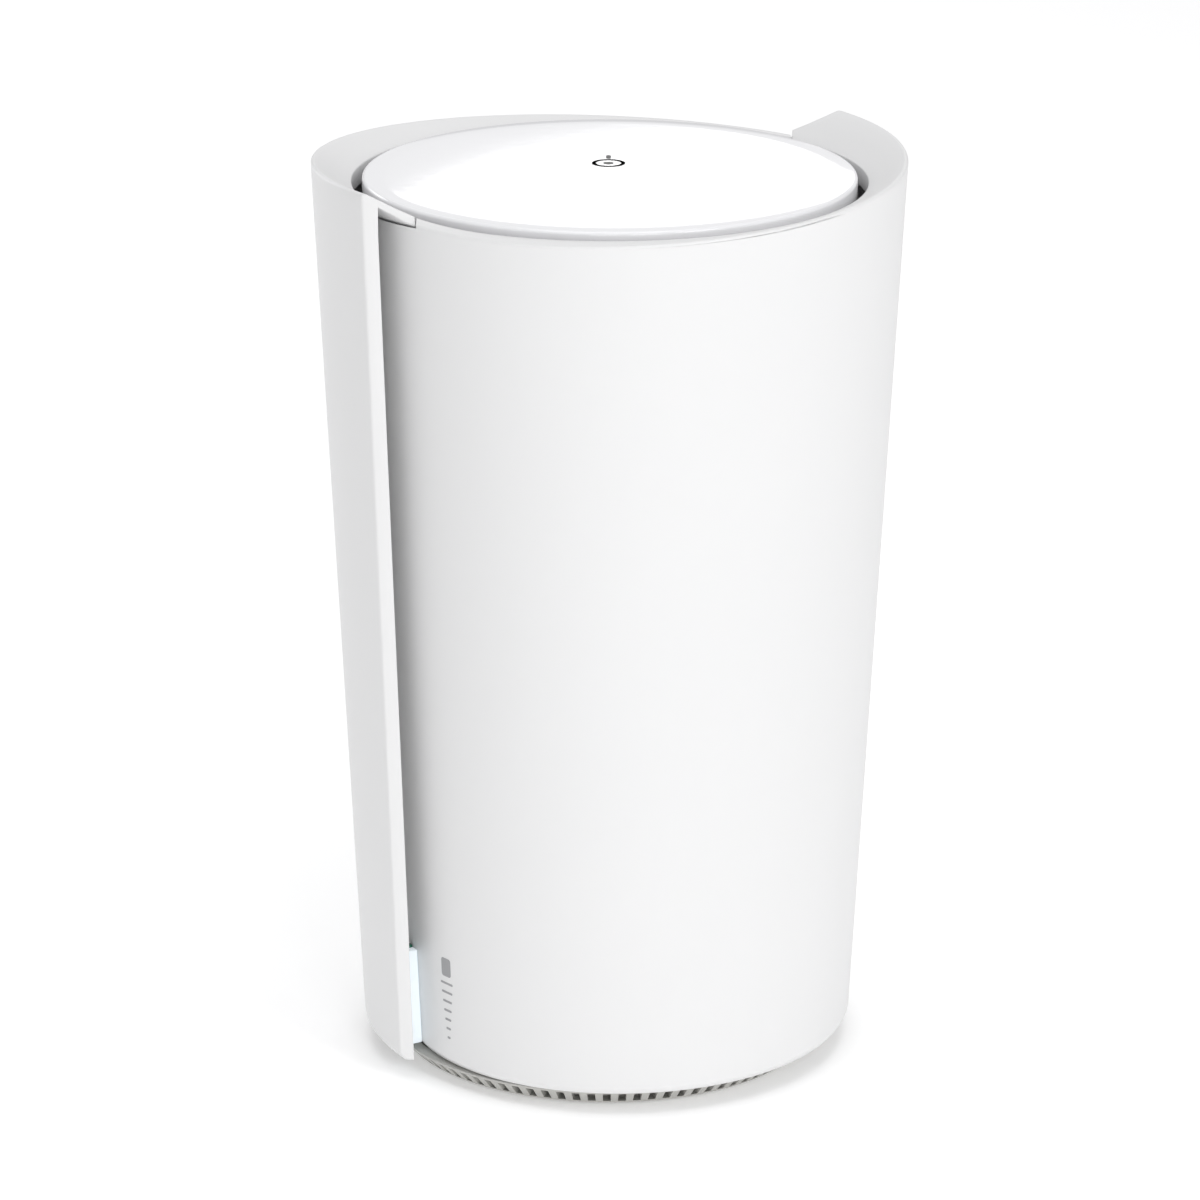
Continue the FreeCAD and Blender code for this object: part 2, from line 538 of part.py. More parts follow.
def make_base():
    """Slotted cup with its foot ring, plate and screws, and the vented deck above it."""
    top_z = "grille_rim_z"
    plate_top = "grille_base_z + grille_plate"
    cup = revolved("grille_cup", [
        ("0", "grille_base_z"), ("foot_inner", "grille_base_z"),
        ("foot_inner", "grille_base_z + foot_recess"), ("foot_outer", "grille_base_z + foot_recess"),
        ("foot_outer", "grille_base_z"), ("grille_foot_radius", "grille_base_z"),
        ("grille_rim_radius", top_z + " - grille_edge"), ("grille_rim_radius", top_z),
        ("grille_rim_inside", top_z), ("grille_foot_inside", plate_top),
        ("0", plate_top)])
    intakes = []
    for index in range(int(dim("intake_count"))):
        azimuth = (index + 0.5) * 360 / dim("intake_count")
        intakes.append(drafted_block(azimuth, lambda z: dim("grille_foot_inside") - dim("grille_edge"),
                                     lambda z: dim("grille_rim_radius") + 1, dim("intake_width") / 2,
                                     dim("intake_base_z"), dim("intake_top_z")))
    posts = []
    holes = []
    screws = []
    deck_holes = []
    boss_relief = []
    for x, y in ring_spots("boss_circle", BOSS_AZIMUTHS):
        posts.append(rod("base_post_radius", (x, y, "grille_base_z + grille_plate / 2"),
                         "grille_rim_z - grille_base_z - grille_plate / 2"))
        holes.append(rod("base_screw_way", (x, y, "0"), "frame_base_z"))
        holes.append(rod("base_screw_head + pin_play", (x, y, "0"), "base_screw_sink_z"))
        deck_holes.append(rod("base_screw_way", (x, y, "0"), "boss_top_z"))
        boss_relief.append(rod("boss_radius + relief_gap", (x, y, "frame_base_z"), "boss_top_z"))
        head = rod("base_screw_head", (x, y, "base_screw_head_z"), "base_screw_head_height")
        shank = rod("boss_bore - screw_play", (x, y, "base_screw_head_z + 1"),
                    "base_screw_tip_z - base_screw_head_z - 1")
        screws.append(fuse(head, shank))

    def reset_way():
        return rod("reset_radius + reset_hole_gap", ("reset_x", "reset_y", "0"), "frame_base_z + 1")

    keep(cut(fuse(cup, *posts), solid(Part.makeCompound(intakes)), *holes, reset_way()), "base_grille")

    deck_top = top_z + " + deck_thick"
    frame_inside = "frame_radius - frame_wall - (rim_plane_z - frame_base_z) * tan(draft_angle)"
    ring = frame_inside + " - deck_gap"
    ring_inside = ring + " - deck_spigot_wall"
    deck = revolved("deck_disc", [
        ("0", top_z), ("deck_radius", top_z), ("deck_radius", deck_top), (ring, deck_top),
        (ring, deck_top + " + deck_spigot"), (ring_inside, deck_top + " + deck_spigot"),
        (ring_inside, deck_top), ("0", deck_top)])
    vents = []
    for index in range(int(dim("vent_count"))):
        azimuth = (index + 0.5) * 360 / dim("vent_count")
        vents.append(drafted_block(azimuth, lambda z: dim("vent_inner"), lambda z: dim("vent_outer"),
                                   dim("vent_width") / 2, dim("grille_rim_z") - 1,
                                   dim("grille_rim_z") + dim("deck_thick") + 1))
    web_relief = [solid(boss_web(azimuth, dim("boss_circle"), dim("boss_web_half") + dim("relief_gap"),
                                 dim("frame_base_z"), dim("boss_top_z"))) for azimuth in BOSS_AZIMUTHS]
    keep(cut(deck, solid(Part.makeCompound(vents)), reset_way(), *deck_holes, *boss_relief,
             *web_relief), "base_deck")
    keep(group(*screws), "base_screws")
    keep(revolved("foot_outline", [
        ("foot_inner + foot_gap", "0"), ("foot_outer - foot_gap", "0"),
        ("foot_outer - foot_gap", "grille_base_z + foot_recess"),
        ("foot_inner + foot_gap", "grille_base_z + foot_recess")]), "rubber_foot")
    keep(box(("-label_length / 2", "label_y - label_width / 2", "grille_base_z - label_thick"),
             ("label_length / 2", "label_y + label_width / 2", "grille_base_z")), "rating_plate")


def make_light():
    """Lit bar in the front groove, with the board, lamps and cable behind it."""
    other = 180

    def groove_floor(azimuth):
        return lambda z: wing_outside(azimuth, z) + dim("pipe_floor_gap")

    def groove_roof(azimuth):
        return lambda z: wing_inside(azimuth + other, z) - dim("pipe_roof_gap")

    pipe_at = dim("light_azimuth")
    keep(solid(drafted_block(pipe_at, groove_floor(pipe_at), groove_roof(pipe_at),
                             dim("light_half_width"), dim("light_base_z"), dim("light_top_z"))),
         "light_pipe")
    board_at = dim("led_board_azimuth")
    keep(solid(drafted_block(board_at, groove_floor(board_at), groove_roof(board_at),
                             dim("led_board_half"), dim("light_base_z"), dim("light_top_z"))),
         "led_board")
    leds = []
    face = dim("led_board_half")
    for step in (-1, 0, 1):
        middle = dim("led_cable_z") + step * dim("led_pitch")
        radius = (wing_outside(board_at, middle) + wing_inside(board_at + other, middle)) / 2
        lamp = Part.makeBox(2 * dim("led_half"), dim("led_thick"), 2 * dim("led_half"),
                            Vector(radius - dim("led_half"), face, middle - dim("led_half")))
        lamp.rotate(Vector(), Vector(0, 0, 1), board_at)
        leds.append(lamp)
    keep(solid(Part.makeCompound(leds)), "status_leds")
    height = dim("led_cable_z")
    start = polar(wing_outside(board_at, height) + dim("frame_gap"), board_at, height)
    bend = polar(dim("led_cable_bend"), board_at, height)
    route = [start, bend, Vector(dim("board_x"), bend.y, height)]
    keep(solid(cable(route, dim("led_cable_radius"), dim("led_cable_arc"))), "led_cable")


def cable(route, radius, arc_radius):
    """Round cable along straight runs joined by tangent arcs."""
    edges = []
    last = route[0]
    for before, corner, after in zip(route, route[1:], route[2:]):
        into = (corner - before).normalize()
        out = (after - corner).normalize()
        half_turn = into.getAngle(out) / 2
        trim = arc_radius * math.tan(half_turn)
        enter = corner - into * trim
        leave = corner + out * trim
        to_middle = (out - into).normalize()
        middle = corner + to_middle * (arc_radius / math.cos(half_turn) - arc_radius)
        edges.append(Part.LineSegment(last, enter).toShape())
        edges.append(Part.Arc(enter, middle, leave).toShape())
        last = leave
    edges.append(Part.LineSegment(last, route[-1]).toShape())
    start_ring = Part.Wire(Part.makeCircle(radius, route[0], route[1] - route[0]))
    return Part.Wire(edges).makePipeShell([start_ring], True, False)


def make_board():
    """Main board with its screws, chips, shields and finned sink; returns the shields' pads."""
    face = "board_x + board_thick"
    board = box(("board_x", "board_front_y", "board_base_z"), (face, "board_rear_y", "board_top_z"))
    holes = []
    screws = []
    bosses = []
    bores = []
    for y in ("sink_front_y + sink_screw_inset", "sink_rear_y - sink_rear_inset"):
        for z in ("sink_base_z + sink_screw_inset", "sink_top_z - sink_screw_inset"):
            holes.append(rod("sink_screw_radius + pin_play", ("board_x - 1", y, z), "board_thick + 2",
                             "x"))
            head = rod("sink_screw_head", ("board_x - sink_head_height", y, z), "sink_head_height", "x")
            shank = rod("sink_screw_radius", ("board_x - embed", y, z), "sink_screw_length", "x")
            screws.append(fuse(head, shank))
            bosses.append(rod("sink_boss_radius", (face, y, z), "shield_height + pad_thick + embed",
                              "x"))
            bores.append(rod("sink_screw_radius + pin_play", (face + " - 1", y, z),
                             "sink_screw_length", "x"))
    keep(cut(board, *holes), "main_board")
    keep(group(*screws), "heatsink_screws")

    pads = []
    for label, low_z in (("processor_shield", "cpu_shield_z"), ("radio_shield", "radio_shield_z")):
        low = (face, "shield_front_y", low_z)
        high = (face + " + shield_height", "shield_rear_y", low_z + " + shield_length")
        cavity = box((face + " - 1", "shield_front_y + shield_wall", low_z + " + shield_wall"),
                     (face + " + shield_height - shield_wall", "shield_rear_y - shield_wall",
                      low_z + " + shield_length - shield_wall"))
        keep(cut(box(low, high), cavity), label)
        pads.append(box((face + " + shield_height", "shield_front_y + pad_inset",
                         low_z + " + pad_inset"),
                        (face + " + shield_height + pad_thick", "shield_rear_y - pad_inset",
                         low_z + " + shield_length - pad_inset")))
    def chip(low_y, high_y, low_z, high_z, height):
        return box((face, low_y, low_z), (face + " + " + height, high_y, high_z))

    keep(chip("-16", "2", "cpu_shield_z + 8", "cpu_shield_z + 26", "chip_height"), "processor_chip")
    keep(group(chip("4", "11", "cpu_shield_z + 5", "cpu_shield_z + 14", "memory_height"),
               chip("4", "11", "cpu_shield_z + 18", "cpu_shield_z + 27", "memory_height"),
               chip("-20", "-9", "radio_shield_z + 10", "radio_shield_z + 21", "radio_height"),
               chip("-3", "8", "radio_shield_z + 10", "radio_shield_z + 21", "radio_height")),
         "board_chips")
    keep(group(chip("2", "16", "lan_low_z - 8", "lan_low_z + 4", "transformer_height"),
               chip("2", "16", "lan_low_z + 10", "lan_low_z + 22", "transformer_height")),
         "lan_transformers")

    sink_x = face + " + shield_height + pad_thick"
    fins = fin_row(sink_x + " + sink_plate - embed", sink_x + " + sink_plate + fin_reach",
                   "sink_front_y", "sink_rear_y", "fin_count", "sink_base_z", "sink_top_z")
    plate = box((sink_x, "sink_front_y", "sink_base_z"),
                (sink_x + " + sink_plate", "sink_rear_y", "sink_top_z"))
    keep(cut(fuse(plate, *fins, *bosses), *bores), "main_heatsink")
    return pads


def fin_row(near_x, far_x, low_y, high_y, count, low_z, high_z):
    """Upright cooling fins spaced evenly across a plate."""
    fins = []
    for index in range(int(dim(count))):
        start = "%s + (%s - fin_thick - (%s)) * %d / (%s - 1)" % (low_y, high_y, low_y, index, count)
        fins.append(box((near_x, start, low_z), (far_x, start + " + fin_thick", high_z)))
    return fins


def make_modem(pads):
    """Modem module in its socket on the board's other face, with shield, screw and finned sink."""
    near = "board_x - modem_gap"
    far = near + " - modem_board_thick"
    shield_x = far + " - modem_shield_height"
    end_z = "modem_base_z + modem_length"
    screw_z = end_z + " - modem_screw_inset"
    socket = box((near + " - modem_socket_lap", "-modem_socket_half", "modem_base_z - modem_socket_low"),
                 ("board_x", "modem_socket_half", "modem_base_z + modem_socket_high"))
    card_slot = box((far + " - modem_fit", "-modem_half", "modem_base_z"),
                    (near + " + modem_fit", "modem_half", end_z))
    keep(cut(socket, card_slot), "modem_socket")
    screw_hole = rod("modem_screw_radius + 3 * modem_fit", (far + " - 1", "0", screw_z),
                     "modem_gap + 3", "x")
    module = box((far, "-modem_half", "modem_base_z + pin_play"), (near, "modem_half", end_z))
    keep(cut(module, screw_hole), "modem_module")
    keep(cut(rod("modem_standoff_radius", (near, "0", screw_z), "modem_gap", "x"),
             rod("modem_screw_radius + modem_fit", (near + " - 1", "0", screw_z), "modem_gap + 3", "x")),
         "modem_standoff")
    keep(fuse(rod("modem_screw_head", (far + " - 1", "0", screw_z), "1", "x"),
              rod("modem_screw_radius", (far + " - embed", "0", screw_z), "modem_screw_length", "x")),
         "modem_screw")
    keep(box((shield_x, "-modem_half + 1", "modem_base_z + modem_shield_low"),
             (far, "modem_half - 1", end_z + " - modem_shield_high")), "modem_shield")
    sink_x = shield_x + " - pad_thick"
    pads.append(box((sink_x, "-modem_half + 1 + pad_inset",
                     "modem_base_z + modem_shield_low + pad_inset"),
                    (shield_x, "modem_half - 1 - pad_inset",
                     end_z + " - modem_shield_high - pad_inset")))
    keep(group(*pads), "thermal_pads")
    low_z = "modem_base_z"
    high_z = end_z + " - modem_sink_inset"
    plate_x = sink_x + " - modem_sink_plate"
    plate = box((plate_x, "-modem_sink_half", low_z), (sink_x, "modem_sink_half", high_z))
    fins = fin_row(plate_x + " - modem_fin_reach", plate_x + " + embed", "-modem_sink_half",
                   "modem_sink_half", "modem_fin_count", low_z, high_z)
    keep(fuse(plate, *fins), "modem_heatsink")


def make_port_panel():
    """Recessed bay: a tray-shaped panel with a way for every socket, button and the flap's pin."""
    plate_y = "bay_floor_y - bay_plate"
    outer = rounded_port("bay_half", "bay_base_z", "bay_top_z", plate_y, "window_rear_y",
                         dim("bay_corner"))
    inner = rounded_port("bay_half - bay_wall", "bay_base_z + bay_wall", "bay_top_z - bay_wall",
                         "bay_floor_y", "window_rear_y + 1", dim("bay_corner") - dim("bay_wall"))
    rear_azimuth = 270
    height = dim("frame_top_z")
    skin = solid(Part.makeCone(wing_outside(rear_azimuth, 0) - dim("bay_rim_inset"),
                               wing_outside(rear_azimuth, height) - dim("bay_rim_inset"), height))
    socket_x = "board_x + board_thick + socket_low"
    ways = []
    for z in ("lan_low_z", "lan_low_z + lan_pitch"):
        ways.append(box((socket_x + " - port_gap", plate_y + " - 1", z + " - socket_half - port_gap"),
                        (socket_x + " + socket_height + port_gap", "bay_floor_y + 1",
                         z + " + socket_half + port_gap")))
        ways.append(box((socket_x, plate_y + " - 1", z + " - latch_half - port_gap"),
                        (socket_x + " + socket_height + latch_height + port_gap", "bay_floor_y + 1",
                         z + " + latch_half + port_gap")))
    deep = "bay_plate + 2"
    ways.append(rod("power_nose + port_gap", ("power_x", plate_y + " - 1", "power_z"), deep, "y"))
    ways.append(rod("wps_cap + port_gap", ("wps_x", plate_y + " - 1", "wps_z"), deep, "y"))
    tray_x = "board_x + board_thick + tray_low"
    ways.append(box((tray_x + " - tray_gap", plate_y + " - 1", "sim_z - tray_half - tray_gap"),
                    (tray_x + " + tray_thick + tray_gap", "bay_floor_y", "sim_z + tray_half + tray_gap")))
    ways.append(box((tray_x + " + tray_face_low - tray_gap",
                     "bay_floor_y + tray_face_proud - tray_face_thick",
                     "sim_z - tray_face_half - tray_gap"),
                    (tray_x + " + tray_face_high + tray_gap", "bay_floor_y + 1",
                     "sim_z + tray_face_half + tray_gap")))
    for x in ("-aerial_x", "aerial_x"):
        ways.append(rod("aerial_barrel + pin_play", (x, plate_y + " - 1", "aerial_z"), deep, "y"))
    pin_start = ("-flap_pin_half - pin_play", "flap_axis_y", "flap_axis_z")
    ways.append(rod("flap_pin + flap_pin_fit", pin_start, "2 * flap_pin_half + 2 * pin_play", "x"))
    keep(cut(common(cut(outer, inner), skin), *ways), "port_panel")


def make_lan_jacks():
    """Two network sockets on their sides, each with eight contact wires."""
    face = "board_x + board_thick"
    low_x = face + " + socket_low"
    for number, z in ((1, "lan_low_z"), (2, "lan_low_z + lan_pitch")):
        body = box((face, "jack_front_y", z + " - jack_half"),
                   (face + " + jack_height", "jack_rear_y - jack_gap", z + " + jack_half"))
        mouth = box((low_x, "jack_rear_y - socket_depth", z + " - socket_half"),
                    (low_x + " + socket_height", "jack_rear_y + 1", z + " + socket_half"))
        latch = box((low_x + " + socket_height - 1", "jack_rear_y - latch_depth", z + " - latch_half"),
                    (low_x + " + socket_height + latch_height", "jack_rear_y + 1", z + " + latch_half"))
        keep(cut(body, mouth, latch), "lan_jack_%d" % number)
        wires = []
        for index in range(int(dim("contact_count"))):
            middle = "%s + (%d - (contact_count - 1) / 2) * contact_pitch" % (z, index)
            wires.append(box((low_x, "jack_rear_y - socket_depth", middle + " - contact_half"),
                             (low_x + " + contact_height", "jack_rear_y - contact_front",
                              middle + " + contact_half")))
        keep(group(*wires), "lan_contacts_%d" % number)


def make_power_jack():
    """Power inlet: a block with a round nose through the panel, and its pin."""
    face = "board_x + board_thick"
    body = box((face, "power_front_y", "power_z - power_half"),
               ("power_x + power_half", "jack_rear_y - jack_gap", "power_z + power_half"))
    nose = rod("power_nose", ("power_x", "jack_rear_y - 1", "power_z"),
               "power_nose_y - jack_rear_y + 1", "y")
    bore = rod("power_bore", ("power_x", "power_bore_y", "power_z"), "power_nose_y - power_bore_y + 1",
               "y")
    seat = rod("power_pin", ("power_x", "power_front_y + 1", "power_z"), "power_bore_y - power_front_y",
               "y")
    keep(cut(fuse(body, nose), bore, seat), "power_jack")
    keep(rod("power_pin", ("power_x", "power_front_y + 1", "power_z"),
             "power_pin_y - power_front_y - 1", "y"), "power_pin")


def make_sim():
    """Card reader on the board and the tray that slides out of it."""
    face = "board_x + board_thick"
    low_x = face + " + tray_low"
    shell = box((face, "reader_front_y", "sim_z - sim_half"),
                (face + " + reader_height", "reader_rear_y", "sim_z + sim_half"))
    slot = box((low_x + " - tray_gap", "tray_front_y - 1", "sim_z - tray_half - tray_gap"),
               (low_x + " + tray_thick + tray_gap", "bay_floor_y", "sim_z + tray_half + tray_gap"))
    keep(cut(shell, slot), "sim_reader")
    tongue = box((low_x, "tray_front_y", "sim_z - tray_half"),
                 (low_x + " + tray_thick", "bay_floor_y - embed", "sim_z + tray_half"))
    card_seat = box((low_x + " - 1", "tray_front_y + card_inset", "sim_z - card_half"),
                    (low_x + " + tray_thick + 1", "tray_front_y + card_inset + card_length",
                     "sim_z + card_half"))
    plate = box((low_x + " + tray_face_low",
                 "bay_floor_y + tray_face_proud - tray_face_thick + pin_play",
                 "sim_z - tray_face_half"),
                (low_x + " + tray_face_high", "bay_floor_y + tray_face_proud",
                 "sim_z + tray_face_half"))
    keep(cut(fuse(tongue, plate), card_seat), "sim_tray")


def make_wps():
    """Pairing button through the panel, with its switch and plunger."""
    face = "board_x + board_thick"
    plate_y = "bay_floor_y - bay_plate"
    cap = rod("wps_cap", ("wps_x", plate_y + " - embed", "wps_z"), "bay_plate + wps_proud + embed", "y")
    flange = rod("wps_flange", ("wps_x", plate_y + " - wps_flange_y", "wps_z"), "wps_flange_thick", "y")
    stem = rod("wps_stem", ("wps_x", "wps_stem_y", "wps_z"), plate_y + " - wps_stem_y - embed", "y")
    keep(fuse(cap, flange, stem), "wps_button")
    body = box((face, "switch_front_y", "wps_z - switch_half"),
               (face + " + switch_height", "switch_rear_y", "wps_z + switch_half"))
    bore = rod("plunger + plunger_gap", ("wps_x", "switch_bore_y", "wps_z"), "switch_rear_y", "y")
    keep(cut(body, bore), "wps_switch")
    keep(rod("plunger", ("wps_x", "plunger_front_y", "wps_z"), "wps_stem_y - plunger_front_y", "y"),
         "wps_plunger")


def make_aerial_ports():
    """Two external aerial sockets and the hinged flap that covers them."""
    plate_y = "bay_floor_y - bay_plate"
    for number, x in ((1, "-aerial_x"), (2, "aerial_x")):
        barrel = rod("aerial_barrel", (x, "aerial_front_y", "aerial_z"),
                     "aerial_end_y - aerial_front_y", "y")
        flange = box((x + " - aerial_flange", plate_y + " - aerial_flange_y",
                      "aerial_z - aerial_flange_tall"),
                     (x + " + aerial_flange", plate_y + " - pin_play", "aerial_z + aerial_flange_tall"))
        bore = rod("aerial_bore", (x, "aerial_end_y - aerial_bore_depth", "aerial_z"),
                   "aerial_bore_depth + 1", "y")
        keep(cut(fuse(barrel, flange), bore), "antenna_connector_%d" % number)

    axis_low = ("-flap_half", "flap_axis_y", "flap_axis_z")
    knuckle = rod("flap_knuckle", axis_low, "2 * flap_half", "x")
    plate = box(("-flap_half", "flap_axis_y + flap_near", "flap_low_z"),
                ("flap_half", "flap_axis_y + flap_near + flap_thick", "flap_axis_z"))
    grip = box(("-flap_grip_half", "flap_axis_y + flap_near + embed", "flap_low_z"),
               ("flap_grip_half", "flap_axis_y + flap_near + flap_thick + flap_grip_proud",
                "flap_low_z + flap_grip_height"))
    bore = rod("flap_pin + flap_running_gap", ("-flap_half - 1", "flap_axis_y", "flap_axis_z"),
               "2 * flap_half + 2", "x")
    keep(cut(fuse(knuckle, plate, grip), bore), "antenna_port_flap")
    keep(rod("flap_pin", ("-flap_pin_half", "flap_axis_y", "flap_axis_z"), "2 * flap_pin_half", "x"),
         "flap_pin")


def make_reset():
    """Reset button in the underside, with its switch and plunger."""
    spot = ("reset_x", "reset_y")
    stem = rod("reset_radius", (*spot, "reset_face_z"), "reset_tip_z - reset_face_z")
    flange = rod("reset_flange", (*spot, "reset_flange_z"), "reset_flange_thick")
    keep(fuse(stem, flange), "reset_button")
    face = "board_x + board_thick"
    body = box((face, "reset_y - reset_switch_half", "reset_switch_z"),
               ("reset_x + reset_switch_half", "reset_y + reset_switch_half", "reset_switch_top_z"))
    bore = rod("reset_plunger + plunger_gap", (*spot, "reset_switch_z - 1"),
               "reset_bore_z - reset_switch_z + 1")
    keep(cut(body, bore), "reset_switch")
    keep(rod("reset_plunger", (*spot, "reset_tip_z"), "reset_plunger_top_z - reset_tip_z"),
         "reset_plunger")


# Azimuth and board-side y of every aerial; those in front of the board's face plug in there
AERIALS = {
    "wifi_antenna_1": (20, 2.0), "wifi_antenna_2": (150, 2.0),
    "wifi_antenna_3": (215, -18.0), "wifi_antenna_4": (320, -18.0),
    "cell_antenna_1": (50, 10.0), "cell_antenna_2": (125, 10.0),
    "cell_antenna_3": (185, -8.0), "cell_antenna_4": (345, -8.0),
}


def coax_plug(low_x, high_x, y, base_z):
    """Block of a coax plug, standing off the board's face."""
    width = dim("coax_plug_width")
    return Part.makeBox(high_x - low_x, width, dim("coax_plug_height"),
                        Vector(low_x, y - width / 2, base_z))


def make_port_leads():
    """Plugs and leads between the two external aerial sockets and the board."""
    face = dim("board_x") + dim("board_thick")
    reach = dim("coax_plug_reach")
    plugs = []
    leads = []
    for x, turn_y, rise in ((-dim("aerial_x"), dim("near_lead_y"), dim("near_lead_rise")),
                            (dim("aerial_x"), dim("far_lead_y"), dim("far_lead_rise"))):
        level = dim("aerial_z") + rise
        route = [Vector(x, dim("aerial_front_y"), dim("aerial_z")), Vector(x, turn_y, dim("aerial_z")),
                 Vector(x, turn_y, level)]
        if x < 0:
            plugs.append(coax_plug(face, x + reach / 2, turn_y, level))
        else:
            plugs.append(coax_plug(face, face + reach, turn_y, level - dim("coax_plug_height") / 2))
            route.append(Vector(face + reach, turn_y, level))
        leads.append(cable(route, dim("coax_radius"), dim("coax_arc")))
    return plugs, leads


def make_aerials():
    """Aerial plates inside the frame, and every coax lead with its plug on the board."""
    plugs, port_leads = make_port_leads()
    leads = {"wifi": [], "cell": []}
    half = dim("aerial_plate_half")
    thick = dim("aerial_plate_thick")
    reach = dim("coax_plug_reach")

    def plate_back(height):
        inner = dim("frame_radius") - dim("frame_wall") - draft_inset(height)
        return math.sqrt(inner ** 2 - half ** 2) - dim("aerial_plate_gap")

    for label, (azimuth, plug_y) in AERIALS.items():
        kind = label.split("_")[0]
        low, high = dim(kind + "_base_z"), dim(kind + "_top_z")
        plate = drafted_block(azimuth, lambda z: plate_back(z) - thick, plate_back, half, low, high)
        keep(solid(plate), label)
        right = math.cos(math.radians(azimuth)) > 0
        plug_x = dim("board_x") + dim("board_thick") if right else dim("board_x") - reach
        plugs.append(coax_plug(plug_x, plug_x + reach, plug_y, dim("coax_plug_base_z")))
        start = polar(plate_back(high) - thick / 2, azimuth, high)
        level = dim("coax_level_z")
        end = Vector(plug_x + reach / 2, plug_y, dim("coax_plug_base_z") + dim("coax_plug_height"))
        route = [start, Vector(start.x, start.y, level), Vector(end.x, end.y, level), end]
        leads[kind].append(cable(route, dim("coax_radius"), dim("coax_arc")))
    keep(solid(Part.makeCompound(plugs)), "coax_plugs")
    keep(solid(Part.makeCompound(leads["wifi"])), "wifi_antenna_cables")
    keep(solid(Part.makeCompound(leads["cell"])), "cell_antenna_cables")
    keep(solid(Part.makeCompound(port_leads)), "antenna_port_cables")


make_wings()
make_core_frame()
make_top()
make_base()
make_light()
make_modem(make_board())
make_port_panel()
make_lan_jacks()
make_power_jack()
make_sim()
make_wps()
make_aerial_ports()
make_reset()
make_aerials()
doc.recompute()

for thing in doc.Objects:
    if {"Invalid", "Error"} & set(thing.State):
        raise RuntimeError("%s (%s) did not compute: %s" % (thing.Name, thing.Label, thing.State))
for thing in parts:
    if thing.Shape.isNull() or not thing.Shape.isValid() or not thing.Shape.Solids:
        raise RuntimeError("%s has no valid solid" % thing.Label)

os.makedirs("parts", exist_ok=True)
for thing in parts:
    thing.Shape.exportStep("parts/%s.step" % thing.Label)
    print("%-24s %2d solids %10.1f mm3" % (thing.Label, len(thing.Shape.Solids), thing.Shape.Volume))
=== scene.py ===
import math

import bmesh
import bpy
from mathutils import Matrix, Vector


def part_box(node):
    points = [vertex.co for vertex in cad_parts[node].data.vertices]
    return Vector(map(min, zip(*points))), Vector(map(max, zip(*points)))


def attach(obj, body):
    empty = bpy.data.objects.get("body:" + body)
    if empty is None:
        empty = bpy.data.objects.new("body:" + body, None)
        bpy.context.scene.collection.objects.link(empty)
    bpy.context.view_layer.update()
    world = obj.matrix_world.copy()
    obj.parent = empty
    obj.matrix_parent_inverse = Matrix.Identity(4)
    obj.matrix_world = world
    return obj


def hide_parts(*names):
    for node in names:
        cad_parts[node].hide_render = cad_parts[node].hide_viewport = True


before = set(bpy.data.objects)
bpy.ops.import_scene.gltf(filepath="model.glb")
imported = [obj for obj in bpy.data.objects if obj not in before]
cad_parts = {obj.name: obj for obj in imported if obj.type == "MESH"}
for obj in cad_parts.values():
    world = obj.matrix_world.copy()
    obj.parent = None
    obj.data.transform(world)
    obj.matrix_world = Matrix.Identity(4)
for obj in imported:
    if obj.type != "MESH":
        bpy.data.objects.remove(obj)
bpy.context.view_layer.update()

# Mesh wifi node in metres: -Y is the front, +Z is up. The two wing shells, the disc, the light guide and
# the printed marks are built here over the CAD frame; every other CAD node keeps its shape.

# ---------------------------------------------------------------- the housing's driving sizes
MM = 0.001
RIM_PLANE = 190.6 * MM
SHELL_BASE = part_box("front_wing_shell")[0].z
DRAFT = math.tan(math.radians(2.83))
WING_AZIMUTH = 226.9
WING_SWEEP = 172.0
HALF_TURN = 180.0
# Plan radius on the rim plane, and the rim's height over it: start, end and the slopes there, in mm
PLAN_CURVE = (57.3, 63.7, 15.1, 10.1)
RIM_CURVE = (-0.1, 6.3, -6.0, 0.5)
WALL_START = 1.5 * MM
WALL_GAIN = 0.95 * MM
TONGUE_AZIMUTH = 203.5
TONGUE_TOP = 187.78 * MM
TONGUE_INSIDE_TOP = 187.7 * MM
TONGUE_RISE = 0.66
CREST_BASE = 185.8 * MM
LAP_AZIMUTH = 381.0
LAP_FADE = 1.5
HOLE_RADIUS = 54.0 * MM
HOLE_Z = RIM_PLANE - 0.2 * MM
LIP_DEPTH = 4.0 * MM
LIP_WALL = 1.0 * MM
HOLE_RISE = 0.7 * MM
HOLE_RISE_AZIMUTH = 223.0
HOLE_RISE_SPAN = 22.0
FUNNEL_THICK = 2.4 * MM
FUNNEL_TAPER = 1.15 * MM
TOE_HEIGHT = 1.4 * MM
TOE_WIDTH = 1.0 * MM
PARTING_GAP = 0.15 * MM
END_ROUND = 0.3 * MM
# The end plane: y = END_Y - END_LEAN * z - END_TURN * x. The funnels meet on the plane x = -SEAM_X, and
# CORNER is the radius where the two planes cross.
END_Y = -35.03 * MM
END_LEAN = math.tan(math.radians(2.56)) / math.cos(math.radians(4.57))
END_TURN = math.tan(math.radians(4.57))
SEAM_X = 39.1 * MM
CORNER = 56.3 * MM

COVER_LOW, COVER_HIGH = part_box("top_cover")
COVER_TOP = COVER_HIGH.z
COVER_RADIUS = COVER_HIGH.x


# ---------------------------------------------------------------- mesh helpers
def new_object(name, mesh_data):
    """Object from a filled bmesh, with outward normals."""
    bmesh.ops.recalc_face_normals(mesh_data, faces=mesh_data.faces)
    mesh = bpy.data.meshes.new(name)
    mesh_data.to_mesh(mesh)
    mesh_data.free()
    thing = bpy.data.objects.new(name, mesh)
    bpy.context.scene.collection.objects.link(thing)
    return thing


